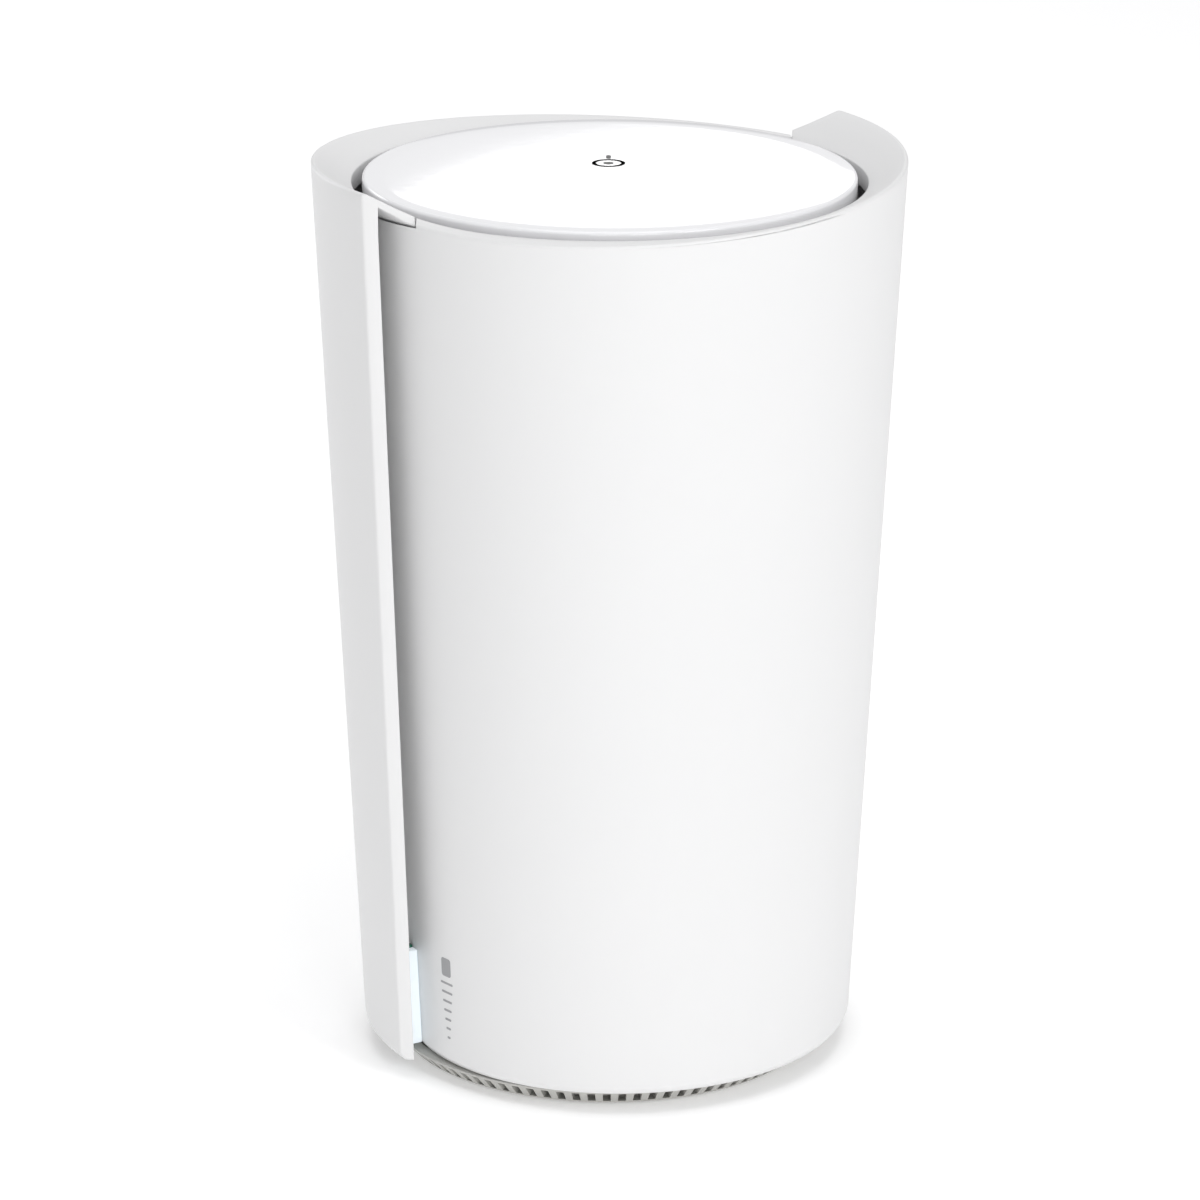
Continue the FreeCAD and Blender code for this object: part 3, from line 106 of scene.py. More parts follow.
def shade(thing, sharp_degrees=35.0):
    """Smooth shading, kept sharp at edges that turn by more than an angle."""
    thing.data.polygons.foreach_set("use_smooth", [True] * len(thing.data.polygons))
    thing.data.set_sharp_from_angle(angle=math.radians(sharp_degrees))
    return thing


def carve(thing, tool, operation):
    """Exact boolean with a tool object, which is used up."""
    step = thing.modifiers.new(operation.lower(), "BOOLEAN")
    step.operation = operation
    step.solver = "EXACT"
    step.object = tool
    bpy.context.view_layer.update()
    result = bpy.data.meshes.new_from_object(thing.evaluated_get(bpy.context.evaluated_depsgraph_get()))
    thing.modifiers.clear()
    thing.data = result
    bpy.data.objects.remove(tool)
    return thing


def soften(thing, width, segments=2, degrees=40.0):
    """Small rounded edges, and normals that keep the flat faces flat."""
    edge = thing.modifiers.new("edge_round", "BEVEL")
    edge.width = width
    edge.segments = segments
    edge.limit_method = "ANGLE"
    edge.angle_limit = math.radians(degrees)
    edge.harden_normals = True
    return thing


def skin(mesh_data, first, second, closed=True):
    """Quads between two rows of vertices."""
    count = len(first)
    for index in range(count if closed else count - 1):
        after = (index + 1) % count
        mesh_data.faces.new((first[index], first[after], second[after], second[index]))


def polar(radius, azimuth, height):
    angle = math.radians(azimuth)
    return Vector((radius * math.cos(angle), radius * math.sin(angle), height))


def revolve(name, outline, turns):
    """Closed solid of revolution from (radius, height) points that start and end on the axis."""
    mesh_data = bmesh.new()
    rings = []
    for radius, height in outline[1:-1]:
        rings.append([mesh_data.verts.new(polar(radius, 360.0 * step / turns, height))
                      for step in range(turns)])
    for first, second in zip(rings, rings[1:]):
        skin(mesh_data, first, second)
    for ring, (_, height) in ((rings[0], outline[0]), (rings[-1], outline[-1])):
        centre = mesh_data.verts.new((0.0, 0.0, height))
        for step in range(turns):
            mesh_data.faces.new((ring[step], ring[(step + 1) % turns], centre))
    return new_object(name, mesh_data)


def prism(name, corners, low_y, high_y):
    """Upright plate along Y from a closed outline of (x, z) points."""
    mesh_data = bmesh.new()
    near = [mesh_data.verts.new((x, low_y, z)) for x, z in corners]
    far = [mesh_data.verts.new((x, high_y, z)) for x, z in corners]
    skin(mesh_data, near, far)
    mesh_data.faces.new(near)
    mesh_data.faces.new(far)
    return new_object(name, mesh_data)


def rounded_corners(half_width, low, high, radius, steps=6):
    """Outline of a rounded rectangle in x and z."""
    outline = []
    middles = ((half_width - radius, high - radius, 0), (radius - half_width, high - radius, 90),
               (radius - half_width, low + radius, 180), (half_width - radius, low + radius, 270))
    for x, z, start in middles:
        for step in range(steps + 1):
            angle = math.radians(start + 90 * step / steps)
            outline.append((x + radius * math.cos(angle), z + radius * math.sin(angle)))
    return outline


# ---------------------------------------------------------------- the wing shells
def ease(start, end, start_slope, end_slope, part):
    """Cubic from start to end with the given slopes; it also runs on past both ends."""
    rise = end - start
    bend = 3 * rise - 2 * start_slope - end_slope
    twist = start_slope + end_slope - 2 * rise
    return start + start_slope * part + bend * part ** 2 + twist * part ** 3


def wing_part(azimuth):
    """Fraction of the wing's sweep: 0 at the rim's start, 1 at its end."""
    return (azimuth - WING_AZIMUTH) / WING_SWEEP


def wing_outside(azimuth, height):
    plan = ease(*PLAN_CURVE, wing_part(azimuth)) * MM
    return plan - (RIM_PLANE - height) * DRAFT


def wing_inside(azimuth, height):
    return wing_outside(azimuth, height) - WALL_START - WALL_GAIN * wing_part(azimuth)


def rim_height(azimuth):
    return RIM_PLANE + ease(*RIM_CURVE, wing_part(azimuth)) * MM


WALL_LEVELS = [14 * MM + 17 * MM * step for step in range(11)]
RIB_AZIMUTHS = (245, 300, 350)
RIB_HALF = 0.8 * MM
FLANGE_GAP = 0.35 * MM
RIB_INSIDE = 53.0 * MM
RIB_BASE, RIB_TOP = 8 * MM, 160 * MM
# Bay window in the rear wing: corner radius, and the span along Y that is cut away
WINDOW_ROUND = 2.6 * MM
WINDOW_INSIDE, WINDOW_OUTSIDE = 39 * MM, 70 * MM
RIM_FILLET = 0.62 * MM
HOLE_FILLET = 0.45 * MM


def wing_corners(azimuth):
    """Corners of one upright section as (radius, height, fillet, arc steps), outside first."""
    rim_z = rim_height(azimuth)
    rim = wing_outside(azimuth, rim_z)
    rise_part = min(max(1 - (azimuth - HOLE_RISE_AZIMUTH) / HOLE_RISE_SPAN, 0.0), 1.0)
    hole_z = HOLE_Z + HOLE_RISE * rise_part ** 2
    shoulder = wing_inside(azimuth, hole_z)
    hole = min(HOLE_RADIUS, shoulder - LIP_WALL - 0.1 * MM)
    lip = hole + LIP_WALL

    def funnel(radius):
        return hole_z + (radius - hole) / (rim - hole) * (rim_z - hole_z)

    def underside(radius):
        return funnel(radius) - FUNNEL_THICK + (radius - hole) / (rim - hole) * FUNNEL_TAPER

    toe_z = SHELL_BASE + TOE_HEIGHT
    tongue_z = TONGUE_TOP + (wing_outside(azimuth, CREST_BASE) - HOLE_RADIUS) * TONGUE_RISE
    outside_levels = [*WALL_LEVELS, min(tongue_z, rim_z - RIM_FILLET - 0.05 * MM)]
    inside_levels = [*WALL_LEVELS, TONGUE_INSIDE_TOP]
    lap = min(max((azimuth - LAP_AZIMUTH) / LAP_FADE, 0.0), 1.0)
    inner_lip_z = hole_z - LIP_DEPTH + lap * (LIP_DEPTH - FUNNEL_THICK)
    outer_lip_z = (1 - lap) * (hole_z - LIP_DEPTH) + lap * (underside(lip) - 0.02 * MM)
    root = lip + (min(CORNER, shoulder - 0.2 * MM) - lip) * lap
    corner = min(CORNER, rim - 0.4 * MM)
    crest = corner + (rim - corner) * 0.3
    corners = [(wing_outside(azimuth, SHELL_BASE) - TOE_WIDTH, SHELL_BASE, 0.5 * MM, 2),
               (wing_outside(azimuth, toe_z), toe_z, 1.1 * MM, 3)]
    corners += [(wing_outside(azimuth, level), level, 0, 0) for level in outside_levels]
    corners += [(rim, rim_z, RIM_FILLET, 5)]
    corners += [(radius, funnel(radius), 0, 0) for radius in (crest, corner)]
    corners += [(hole, hole_z, HOLE_FILLET, 3), (hole, inner_lip_z, 0, 0), (lip, outer_lip_z, 0, 0),
                (root, underside(root), 0, 0), (shoulder, underside(shoulder), 0, 0)]
    corners += [(wing_inside(azimuth, level), level, 0, 0) for level in reversed(inside_levels)]
    corners += [(wing_inside(azimuth, SHELL_BASE), SHELL_BASE, 0, 0)]
    return corners


# Place in the section of the tongue's two top edges: points of the filleted outline, outside and inside
TOE_POINTS = 3 + 4
OUTER_TOP = TOE_POINTS + len(WALL_LEVELS)
INNER_TOP = -(len(WALL_LEVELS) + 2)
# Places where the end face turns its corner: on the funnel's top and on its underside
CORNER_TOP = OUTER_TOP + 1 + 6 + 1
CORNER_LOW = INNER_TOP - 2


def wing_outline(azimuth, inset=0.0):
    """Section as (radius, height) points with its fillets, drawn in by an inset."""
    corners = wing_corners(azimuth)
    places = [Vector(corner[:2]) for corner in corners]
    points = []
    for index, (place, (_, _, fillet, steps)) in enumerate(zip(places, corners)):
        into = (place - places[index - 1]).normalized()
        out = (places[(index + 1) % len(places)] - place).normalized()
        side_in, side_out = Vector((into.y, -into.x)), Vector((out.y, -out.x))
        mitre = (side_in + side_out) / (1 + side_in.dot(side_out))
        if not steps:
            points.append(place - mitre * inset)
            continue
        centre = place - mitre * fillet
        turn = into.angle_signed(out)
        for step in range(steps + 1):
            normal = side_in.copy()
            normal.rotate(Matrix.Rotation(-turn * step / steps, 2))
            points.append(centre + normal * (fillet - inset))
    return points


# Azimuths between which a wing meets a seam, and how many times that span is halved to find where
SEARCH_AZIMUTHS = (195.0, 245.0)
SEARCH_STEPS = 24


def behind_end(place):
    """Distance inside the wing's far end, from the nearer of the end plane and the seam."""
    to_plane = place.y - END_Y + END_LEAN * place.z + END_TURN * place.x
    return min(to_plane / math.hypot(1, END_LEAN, END_TURN), -SEAM_X - place.x)


def behind_seam(place):
    """Distance to the tongue's side of the seam."""
    return -SEAM_X - place.x


def azimuth_at(index, boundary, depth, turned, inset=0.0):
    """Azimuth at which one point of the section lies at a depth inside a boundary."""
    low, high = (azimuth + turned for azimuth in SEARCH_AZIMUTHS)
    for _ in range(SEARCH_STEPS):
        middle = (low + high) / 2
        radius, height = wing_outline(middle, inset)[index]
        if boundary(polar(radius, middle - turned, height)) > depth:
            low = middle
        else:
            high = middle
    return (low + high) / 2


WING_RINGS = 132
TONGUE_RINGS = 14
FADE = 0.16


def wing_mesh():
    """Front wing: tongue, sweep, and an end face with a rounded edge on the other wing's plane."""
    count = len(wing_outline(WING_AZIMUTH))
    inner_top = count + INNER_TOP
    starts = [azimuth_at(i, behind_seam, -PARTING_GAP / 2, 0.0) for i in range(count)]
    ends = [azimuth_at(i, behind_end, PARTING_GAP / 2 + END_ROUND, HALF_TURN) for i in range(count)]
    first, last = sum(starts) / count, sum(ends) / count
    mesh_data = bmesh.new()

    def ring(azimuths, inset=0.0, members=range(count)):
        made = []
        for index in members:
            radius, height = wing_outline(azimuths[index], inset)[index]
            made.append(mesh_data.verts.new(polar(radius, azimuths[index], height)))
        return made

    rings = []
    for step in range(WING_RINGS + 1):
        part = step / WING_RINGS
        near_start = max(0.0, 1 - part / FADE) ** 2
        near_end = max(0.0, 1 - (1 - part) / FADE) ** 2
        nominal = first + (last - first) * part
        rings.append(ring([nominal + (starts[i] - first) * near_start + (ends[i] - last) * near_end
                           for i in range(count)]))
    for degrees in (30, 60, 90):
        angle = math.radians(degrees)
        depth = PARTING_GAP / 2 + END_ROUND * (1 - math.sin(angle))
        inset = END_ROUND * (1 - math.cos(angle))
        rings.append(ring([azimuth_at(i, behind_end, depth, HALF_TURN, inset) for i in range(count)], inset))
    for one, other in zip(rings, rings[1:]):
        skin(mesh_data, one, other)
    face = rings[-1]
    corner_low = count + CORNER_LOW
    mesh_data.faces.new(face[CORNER_TOP:corner_low + 1])
    mesh_data.faces.new([*face[corner_low:], *face[:CORNER_TOP + 1]])

    seam = rings[0]
    mesh_data.faces.new(seam[OUTER_TOP:inner_top + 1])
    lower = [*range(inner_top, count), *range(OUTER_TOP + 1)]
    tongue = [[seam[i] for i in lower]]
    for step in range(1, TONGUE_RINGS + 1):
        part = step / TONGUE_RINGS
        tongue.append(ring([start + (TONGUE_AZIMUTH - start) * part for start in starts], members=lower))
    for one, other in zip(tongue, tongue[1:]):
        skin(mesh_data, one, other)
    mesh_data.faces.new(tongue[-1])
    return new_object("front_shell", mesh_data)


def drafted_block(mesh_data, azimuth, inside, outside, half_width, levels):
    """Upright block at an azimuth; inside and outside give its radii at a height."""
    across = polar(half_width, azimuth + 90, 0)
    rows = []
    for height in levels:
        near = polar(inside(height), azimuth, height)
        far = polar(outside(height), azimuth, height)
        rows.append([mesh_data.verts.new(place) for place in
                     (near - across, far - across, far + across, near + across)])
    for one, other in zip(rows, rows[1:]):
        skin(mesh_data, one, other)
    mesh_data.faces.new(rows[0])
    mesh_data.faces.new(rows[-1])


def wing_stiffeners():
    """Ribs on a wing's inside, and the flange that closes the groove."""
    embed = 0.5 * MM
    mesh_data = bmesh.new()
    for azimuth in RIB_AZIMUTHS:
        drafted_block(mesh_data, azimuth, lambda z: RIB_INSIDE - (RIM_PLANE - z) * DRAFT,
                      lambda z: wing_inside(azimuth, z) + embed, RIB_HALF, (RIB_BASE, RIB_TOP))
    flange = TONGUE_AZIMUTH + 1
    drafted_block(mesh_data, flange, lambda z: wing_outside(flange, z) - embed,
                  lambda z: wing_inside(flange + HALF_TURN, z) - FLANGE_GAP, RIB_HALF,
                  (RIB_BASE, CREST_BASE))
    return new_object("stiffeners", mesh_data)


def make_wings():
    front = carve(wing_mesh(), wing_stiffeners(), "UNION")
    rear = bpy.data.objects.new("rear_shell", front.data.copy())
    bpy.context.scene.collection.objects.link(rear)
    rear.data.transform(Matrix.Rotation(math.pi, 4, "Z"))
    low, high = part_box("port_panel")
    gap = 0.2 * MM
    corners = rounded_corners(high.x + gap, low.z - gap, high.z + gap, WINDOW_ROUND)
    window = prism("window", corners, WINDOW_INSIDE, WINDOW_OUTSIDE)
    carve(rear, window, "DIFFERENCE")
    for thing, node in ((front, "front_wing_shell"), (rear, "rear_wing_shell")):
        shade(thing)
        place_piece(thing, "housing", "shell_white", node)


# ---------------------------------------------------------------- disc, light guide and prints
def make_cover():
    """Disc with a rounded shoulder and a short skirt."""
    shoulder = 0.8 * MM
    skirt_wall = 1.6 * MM
    under = COVER_TOP - 2.2 * MM
    skirt_z = COVER_TOP - 5.1 * MM
    outline = [(0, under), (COVER_RADIUS - skirt_wall, under), (COVER_RADIUS - skirt_wall, skirt_z),
               (COVER_RADIUS, skirt_z)]
    for step in range(9):
        angle = math.radians(90 * step / 8)
        outline.append((COVER_RADIUS - shoulder * (1 - math.cos(angle)),
                        COVER_TOP - shoulder * (1 - math.sin(angle))))
    outline += [(COVER_RADIUS * share, COVER_TOP) for share in (0.9, 0.6, 0.3, 0.0)]
    disc = shade(revolve("cover_disc", outline, 240))
    place_piece(disc, "housing", "cover_gloss_white", "top_cover")


def make_light_guide():
    low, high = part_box("light_pipe")
    azimuth = 211.1
    half_width = 1.0 * MM
    floor_gap, roof_gap = 0.35 * MM, 0.2 * MM
    levels = [low.z + (high.z - low.z) * step / 8 for step in range(9)]
    mesh_data = bmesh.new()
    drafted_block(mesh_data, azimuth, lambda z: wing_outside(azimuth, z) + floor_gap,
                  lambda z: wing_inside(azimuth + HALF_TURN, z) - roof_gap, half_width, levels)
    guide = shade(soften(new_object("light_guide", mesh_data), 0.25 * MM, 3))
    place_piece(guide, "housing", "light_guide", "light_pipe")


PRINT_LIFT = 0.05 * MM


def stroke(start, end, width, steps=5):
    """Outline of a bar with round ends between two points."""
    along = Vector(end) - Vector(start)
    heading = math.atan2(along.y, along.x) if along.length else 0.0
    outline = []
    for place, turn in ((Vector(end), -90), (Vector(start), 90)):
        for step in range(steps + 1):
            angle = heading + math.radians(turn + 180 * step / steps)
            outline.append(place + Vector((math.cos(angle), math.sin(angle))) * width / 2)
    return outline


def print_on(name, outlines, surface):
    """Thin raised print: each outline is laid on a surface given by surface(across, up, lift)."""
    mesh_data = bmesh.new()
    for outline in outlines:
        top = [mesh_data.verts.new(surface(x, y, PRINT_LIFT)) for x, y in outline]
        foot = [mesh_data.verts.new(surface(x, y, -PRINT_LIFT)) for x, y in outline]
        skin(mesh_data, foot, top)
        mesh_data.faces.new(top)
        mesh_data.faces.new(foot)
    return new_object(name, mesh_data)


def make_prints():
    """Generic marks: a ring with a stem on the disc, and level bars with a badge beside the light."""
    middle = Vector((-0.3, 9.0)) * MM
    ring = [middle + Vector(polar(3.1 * MM, 12.0 * step, 0).xy) for step in range(30)]
    bars = [stroke(ring[step - 1], ring[step], 0.9 * MM, 3) for step in range(30)]
    glyph = [*bars, stroke(middle, middle, 2.2 * MM, 10),
             stroke(middle + Vector((0, 4.6)) * MM, middle + Vector((0, 6.8)) * MM, 1.0 * MM)]
    emblem = print_on("cover_print", glyph, lambda x, y, lift: Vector((x, y, COVER_TOP + lift)))
    place_piece(emblem, "housing", None)
    emblem.data.materials.append(printed_ink("ink_dark", (0.12, 0.12, 0.115)))

    middle = 225.9

    def on_shell(across, up, lift):
        radius = wing_outside(middle, up)
        azimuth = middle + math.degrees(across / radius)
        return polar(wing_outside(azimuth, up) + lift, azimuth, up)

    bars = [stroke((-0.25 * size * MM, (8.9 + 2.1 * size) * MM), (0.25 * size * MM, (8.9 + 2.1 * size) * MM),
                   0.5 * MM) for size in range(1, 8)]
    badge = [(x, z) for x, z in rounded_corners(1.5 * MM, 25.2 * MM, 29.4 * MM, 0.6 * MM, 4)]
    mark = print_on("shell_print", [*bars, badge], on_shell)
    place_piece(mark, "housing", None)
    mark.data.materials.append(printed_ink("ink_grey", (0.36, 0.36, 0.37)))


# ---------------------------------------------------------------- materials
def node_set(name):
    """Material with a Principled shader; returns it with its nodes, links and shader."""
    material = bpy.data.materials.new(name)
    material.use_nodes = True
    tree = material.node_tree
    return material, tree.nodes, tree.links, tree.nodes["Principled BSDF"]


def noise(nodes, links, scale, detail=3.0, roughness=0.5):
    """Noise in the object's own coordinates, in features per metre."""
    where = nodes.new("ShaderNodeTexCoord")
    grain = nodes.new("ShaderNodeTexNoise")
    grain.inputs["Scale"].default_value = scale
    grain.inputs["Detail"].default_value = detail
    grain.inputs["Roughness"].default_value = roughness
    links.new(where.outputs["Object"], grain.inputs["Vector"])
    return grain


def spread(nodes, links, source, low, high):
    """Value that runs from low to high as the source runs from 0.3 to 0.7."""
    scale = nodes.new("ShaderNodeMapRange")
    scale.inputs["From Min"].default_value = 0.3
    scale.inputs["From Max"].default_value = 0.7
    scale.inputs["To Min"].default_value = low
    scale.inputs["To Max"].default_value = high
    links.new(source.outputs["Fac"], scale.inputs["Value"])
    return scale.outputs["Result"]


def tint(nodes, links, source, colour, change):
    """Colour that varies a little, lighter and darker, with the source."""
    mix = nodes.new("ShaderNodeMix")
    mix.data_type = "RGBA"
    mix.inputs["A"].default_value = [channel * (1 - change) for channel in colour] + [1]
    mix.inputs["B"].default_value = [min(1.0, channel * (1 + change)) for channel in colour] + [1]
    links.new(source.outputs["Fac"], mix.inputs["Factor"])
    return mix.outputs["Result"]


def moulded(name, colour, roughness, grain=0.0004, depth=0.00001, change=0.01, ior=1.46, coat=0.0):
    """Moulded plastic: spark-eroded grain, faint cloudiness and uneven sheen."""
    material, nodes, links, shader = node_set(name)
    fine = noise(nodes, links, 1 / grain, 2.0)
    broad = noise(nodes, links, 35.0, 4.0)
    links.new(tint(nodes, links, broad, colour, change), shader.inputs["Base Color"])
    links.new(spread(nodes, links, broad, roughness * 0.93, roughness * 1.07), shader.inputs["Roughness"])
    shader.inputs["IOR"].default_value = ior
    shader.inputs["Coat Weight"].default_value = coat
    shader.inputs["Coat Roughness"].default_value = 0.04
    bump = nodes.new("ShaderNodeBump")
    bump.inputs["Distance"].default_value = depth
    bump.inputs["Strength"].default_value = 0.6
    links.new(fine.outputs["Fac"], bump.inputs["Height"])
    links.new(bump.outputs["Normal"], shader.inputs["Normal"])
    return material


def metal(name, colour, roughness, stretch=(1.0, 1.0, 1.0), change=0.05):
    """Rolled, drawn or plated metal with fine lines along its stretch."""
    material, nodes, links, shader = node_set(name)
    lines = noise(nodes, links, 4000.0, 3.0)
    mapping = nodes.new("ShaderNodeMapping")
    mapping.inputs["Scale"].default_value = stretch
    where = lines.inputs["Vector"].links[0].from_socket
    links.new(where, mapping.inputs["Vector"])
    links.new(mapping.outputs["Vector"], lines.inputs["Vector"])
    links.new(tint(nodes, links, lines, colour, change), shader.inputs["Base Color"])
    links.new(spread(nodes, links, lines, roughness * 0.8, roughness * 1.25), shader.inputs["Roughness"])
    shader.inputs["Metallic"].default_value = 1.0
    return material


def printed_ink(name, colour):
    """Pad-printed ink, slightly uneven."""
    return moulded(name, colour, 0.5, grain=0.00015, depth=0.000004, change=0.06)


def glowing(name, colour, strength):
    """Frosted guide or lamp that gives off light, with slightly uneven tint and brightness."""
    material, nodes, links, shader = node_set(name)
    cloud = noise(nodes, links, 900.0, 2.0)
    links.new(tint(nodes, links, cloud, colour, 0.02), shader.inputs["Base Color"])
    links.new(tint(nodes, links, cloud, colour, 0.02), shader.inputs["Emission Color"])
    links.new(spread(nodes, links, cloud, strength * 0.97, strength * 1.03),
              shader.inputs["Emission Strength"])
    shader.inputs["Roughness"].default_value = 0.5
    return material


def laminate(name, base, trace):
    """Circuit board: solder mask over a faint pattern of tracks."""
    material, nodes, links, shader = node_set(name)
    where = nodes.new("ShaderNodeTexCoord")
    tracks = nodes.new("ShaderNodeTexVoronoi")
    tracks.distance = "MANHATTAN"
    tracks.feature = "F1"
    tracks.inputs["Scale"].default_value = 420.0
    links.new(where.outputs["Object"], tracks.inputs["Vector"])
    edge = nodes.new("ShaderNodeMath")
    edge.operation = "GREATER_THAN"
    edge.inputs[1].default_value = 0.62
    links.new(tracks.outputs["Distance"], edge.inputs[0])
    mix = nodes.new("ShaderNodeMix")
    mix.data_type = "RGBA"
    mix.inputs["A"].default_value = [*base, 1]
    mix.inputs["B"].default_value = [*trace, 1]
    links.new(edge.outputs["Value"], mix.inputs["Factor"])
    links.new(mix.outputs["Result"], shader.inputs["Base Color"])
    bump = nodes.new("ShaderNodeBump")
    bump.inputs["Distance"].default_value = 0.00003
    links.new(edge.outputs["Value"], bump.inputs["Height"])
    links.new(bump.outputs["Normal"], shader.inputs["Normal"])
    shader.inputs["Roughness"].default_value = 0.32
    return material


def make_materials():
    white = (0.80, 0.80, 0.80)
    made = {
        "shell_white": moulded("shell_white", white, 0.42, 0.00035, 0.000012, 0.006),
        "cover_gloss_white": moulded("cover_gloss_white", (0.89, 0.89, 0.905), 0.04, 0.004, 0.000004, 0.003),
        "frame_black": moulded("frame_black", (0.022, 0.021, 0.021), 0.5, 0.0005, 0.00002, 0.1),
        "base_grey": moulded("base_grey", (0.50, 0.495, 0.47), 0.5, 0.0005, 0.00002, 0.02),
        "bay_white": moulded("bay_white", (0.74, 0.74, 0.745), 0.5, 0.0004, 0.000015, 0.01),
        "jack_black": moulded("jack_black", (0.025, 0.025, 0.027), 0.38, 0.0006, 0.00001, 0.1),
        "chip_black": moulded("chip_black", (0.03, 0.03, 0.032), 0.6, 0.0002, 0.00001, 0.1),
        "plunger_ivory": moulded("plunger_ivory", (0.72, 0.68, 0.58), 0.4),
        "pad_grey": moulded("pad_grey", (0.33, 0.36, 0.40), 0.85, 0.0008, 0.00005, 0.08),
        "lead_black": moulded("lead_black", (0.03, 0.03, 0.03), 0.45, 0.001, 0.00001, 0.1),
        "foot_rubber": moulded("foot_rubber", (0.14, 0.14, 0.14), 0.85, 0.0003, 0.00004, 0.1),
        "plate_silver": moulded("plate_silver", (0.52, 0.52, 0.53), 0.4, 0.0003, 0.000004, 0.02),
        "screw_steel": metal("screw_steel", (0.45, 0.45, 0.46), 0.35),
        "shield_steel": metal("shield_steel", (0.62, 0.62, 0.61), 0.32, (1.0, 0.06, 1.0)),
        "reader_steel": metal("reader_steel", (0.62, 0.62, 0.61), 0.3, (1.0, 0.06, 1.0)),
        "pin_steel": metal("pin_steel", (0.58, 0.58, 0.59), 0.25, (0.05, 1.0, 1.0)),
        "heatsink_aluminium": metal("heatsink_aluminium", (0.66, 0.67, 0.69), 0.4, (1.0, 1.0, 0.04)),
        "contact_gold": metal("contact_gold", (0.83, 0.62, 0.26), 0.25, (1.0, 0.1, 1.0)),
        "connector_brass": metal("connector_brass", (0.80, 0.63, 0.33), 0.28, (1.0, 0.1, 1.0)),
        "circuit_board": laminate("circuit_board", (0.012, 0.075, 0.05), (0.03, 0.16, 0.10)),
        "antenna_board": laminate("antenna_board", (0.02, 0.022, 0.025), (0.42, 0.27, 0.12)),
        "light_guide": glowing("light_guide", (0.74, 0.80, 0.84), 0.42),
        "led_white": glowing("led_white", (0.95, 0.97, 1.0), 2.0),
    }
    return made


def place_piece(thing, body, slot_name, *nodes):
    """Put a piece on its body, in the place of its CAD nodes, with its slot's material."""
    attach(thing, body)
    if nodes:
        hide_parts(*nodes)
    if slot_name:
        thing.data.materials.clear()
        thing.data.materials.append(MATERIALS[slot_name])


# CAD nodes that show from outside, with the width of their rounded edges
SOFTENED = {
    "base_grille": 0.12 * MM, "rubber_foot": 0.25 * MM, "port_panel": 0.2 * MM, "rating_plate": 0.1 * MM,
    "lan_jack_1": 0.15 * MM, "lan_jack_2": 0.15 * MM, "power_jack": 0.2 * MM, "wps_button": 0.3 * MM,
    "sim_tray": 0.15 * MM, "antenna_port_flap": 0.25 * MM, "antenna_connector_1": 0.12 * MM,
    "antenna_connector_2": 0.12 * MM, "reset_button": 0.2 * MM, "flap_pin": 0.1 * MM,
    "base_screws": 0.15 * MM, "top_frame": 0.2 * MM,
}


def finish_nodes():
    """Carried-over CAD nodes: rounded edges where they show, and their slot's material."""
    for name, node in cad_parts.items():
        for part in node.material_slots:
            part.material = MATERIALS[part.material.name.split(".")[0]]
        if name in SOFTENED:
            weld = node.modifiers.new("weld", "WELD")
            weld.merge_threshold = 0.002 * MM
            soften(node, SOFTENED[name])


# ---------------------------------------------------------------- stage, camera and light
FLOOR_GLOW = 0.26
FLOOR_REACH = 9.0


def make_floor():
    """Pale floor that glows faintly, as a lit table does, so that it stays even round the object."""
    mesh_data = bmesh.new()
    corners = ((-FLOOR_REACH, -FLOOR_REACH), (FLOOR_REACH, -FLOOR_REACH),
               (FLOOR_REACH, FLOOR_REACH), (-FLOOR_REACH, FLOOR_REACH))
    mesh_data.faces.new([mesh_data.verts.new((x, y, 0.0)) for x, y in corners])
    floor = new_object("floor", mesh_data)
    material, nodes, links, shader = node_set("floor_white")
    cloud = noise(nodes, links, 3.0)
    links.new(tint(nodes, links, cloud, (0.92, 0.92, 0.92), 0.004), shader.inputs["Base Color"])
    shader.inputs["Roughness"].default_value = 0.9
    shader.inputs["Specular IOR Level"].default_value = 0.0
    shader.inputs["Emission Color"].default_value = (1, 1, 1, 1)
    shader.inputs["Emission Strength"].default_value = FLOOR_GLOW
    floor.data.materials.append(material)


# Lens in mm, dip below level in degrees, small heading and roll in radians, place in metres
CAMERA_LENS = 158.84
CAMERA_DIP = 17.783
CAMERA_HEADING = 0.00168
CAMERA_ROLL = 0.00283
CAMERA_PLACE = (0.0, -1.0803, 0.4444)


def make_camera():
    camera = bpy.data.objects.new("camera", bpy.data.cameras.new("camera"))
    bpy.context.scene.collection.objects.link(camera)
    camera.data.sensor_width = 36.0
    camera.data.lens = CAMERA_LENS
    camera.data.clip_end = 30.0
    pitch = Matrix.Rotation(math.radians(90 - CAMERA_DIP), 4, "X")
    heading = Matrix.Rotation(CAMERA_HEADING, 4, "Z")
    roll = Matrix.Rotation(CAMERA_ROLL, 4, "Z")
    camera.matrix_world = Matrix.Translation(CAMERA_PLACE) @ heading @ pitch @ roll
    bpy.context.scene.camera = camera


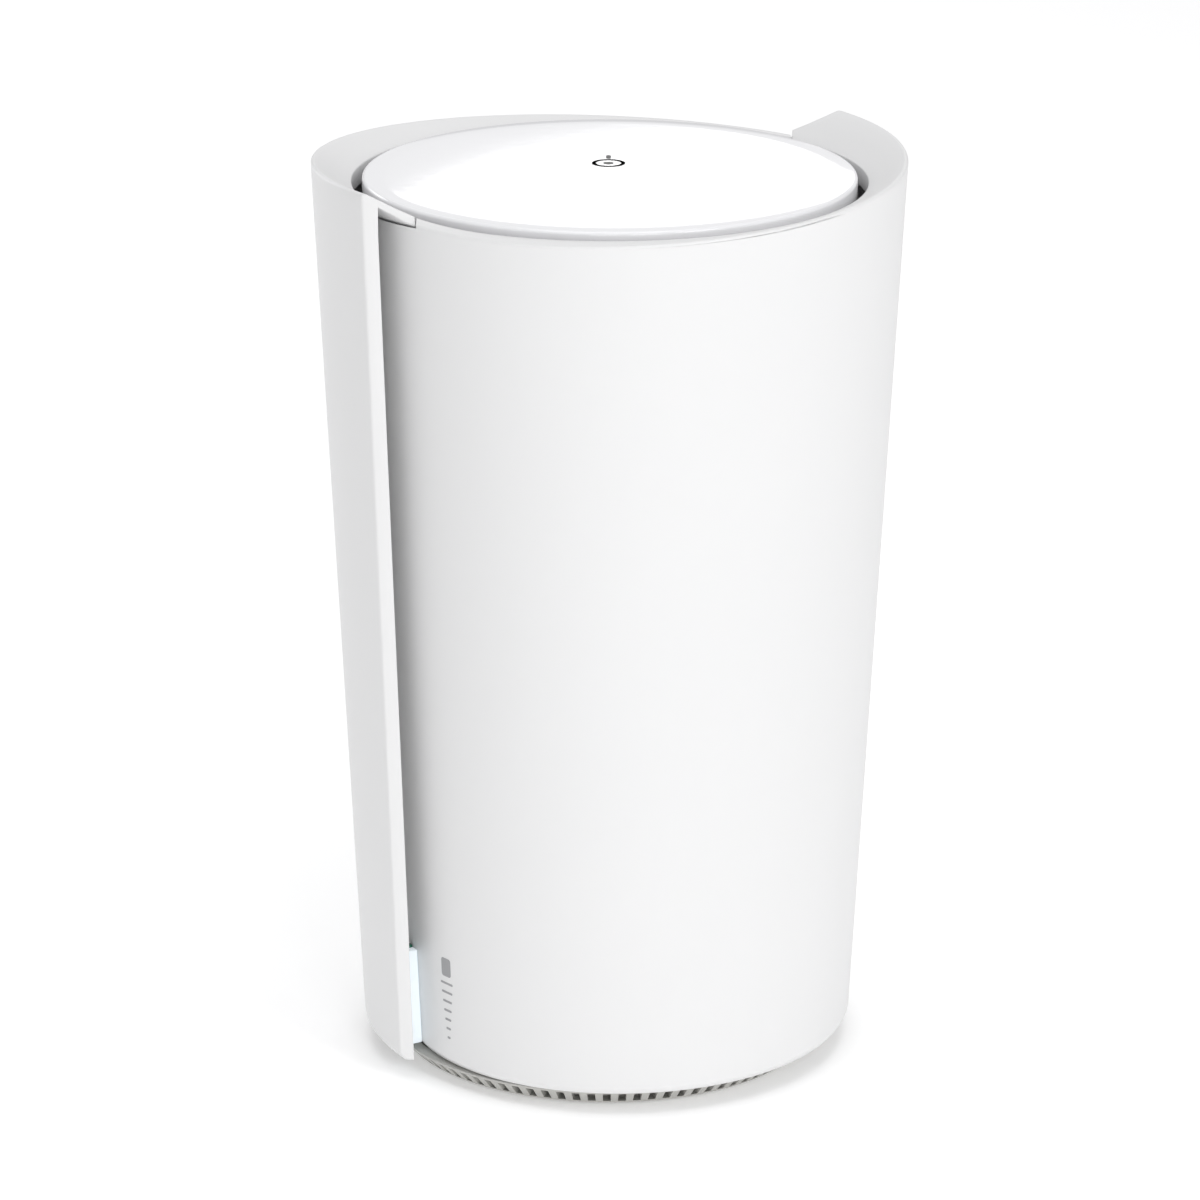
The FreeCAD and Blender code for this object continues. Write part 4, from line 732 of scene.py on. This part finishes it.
AIM = Vector((0.0, 0.0, 0.1))


def soft_light(name, azimuth, elevation, distance, width, height, radiance, shape="RECTANGLE"):
    """Area light facing the object from a direction, set by how bright its face is."""
    data = bpy.data.lights.new(name, "AREA")
    data.shape = shape
    data.size = width
    data.size_y = height
    area = width * height * (math.pi / 4 if shape == "ELLIPSE" else 1)
    data.energy = radiance * math.pi * area
    light = bpy.data.objects.new(name, data)
    bpy.context.scene.collection.objects.link(light)
    rise = math.radians(elevation)
    light.location = AIM + polar(math.cos(rise), azimuth, math.sin(rise)) * distance
    light.rotation_mode = "QUATERNION"
    light.rotation_quaternion = (light.location - AIM).to_track_quat("Z", "Y")
    return light


# Soft boxes: azimuth and elevation in degrees, distance, width and height in metres, radiance
SOFT_BOXES = {
    "front_box": (268, 10, 2.0, 0.5, 1.2, 2.2),
    "front_right_box": (286, 10, 2.0, 0.5, 1.2, 3.8),
    "high_right_box": (315, 35, 1.9, 0.6, 0.8, 4.6),
    "left_back_box": (130, 10, 1.8, 0.6, 1.2, 3.1),
    "top_box": (270, 85, 1.8, 1.2, 1.2, 2.4),
    "high_back_box": (90, 40, 1.8, 1.4, 0.8, 0.7),
    "back_box": (90, 18, 3.0, 3.0, 0.7, 0.48),
}
# Oval card behind the object that the gloss disc mirrors, in the same terms
DISC_CARD = (87.8, 16.0, 3.12, 0.62, 0.204, 1.45)
SKY_COLOUR = (0.985, 0.985, 1.0, 1)
SKY_STRENGTH = 0.405


def make_light():
    world = bpy.data.worlds.new("studio")
    bpy.context.scene.world = world
    world.use_nodes = True
    world.node_tree.nodes["Background"].inputs["Color"].default_value = SKY_COLOUR
    world.node_tree.nodes["Background"].inputs["Strength"].default_value = SKY_STRENGTH
    for name, setting in SOFT_BOXES.items():
        soft_light(name, *setting)
    soft_light("disc_card", *DISC_CARD, "ELLIPSE")
    bpy.context.scene.view_settings.view_transform = "Standard"


MATERIALS = make_materials()
finish_nodes()
make_wings()
make_cover()
make_light_guide()
make_prints()
make_floor()
make_camera()
make_light()
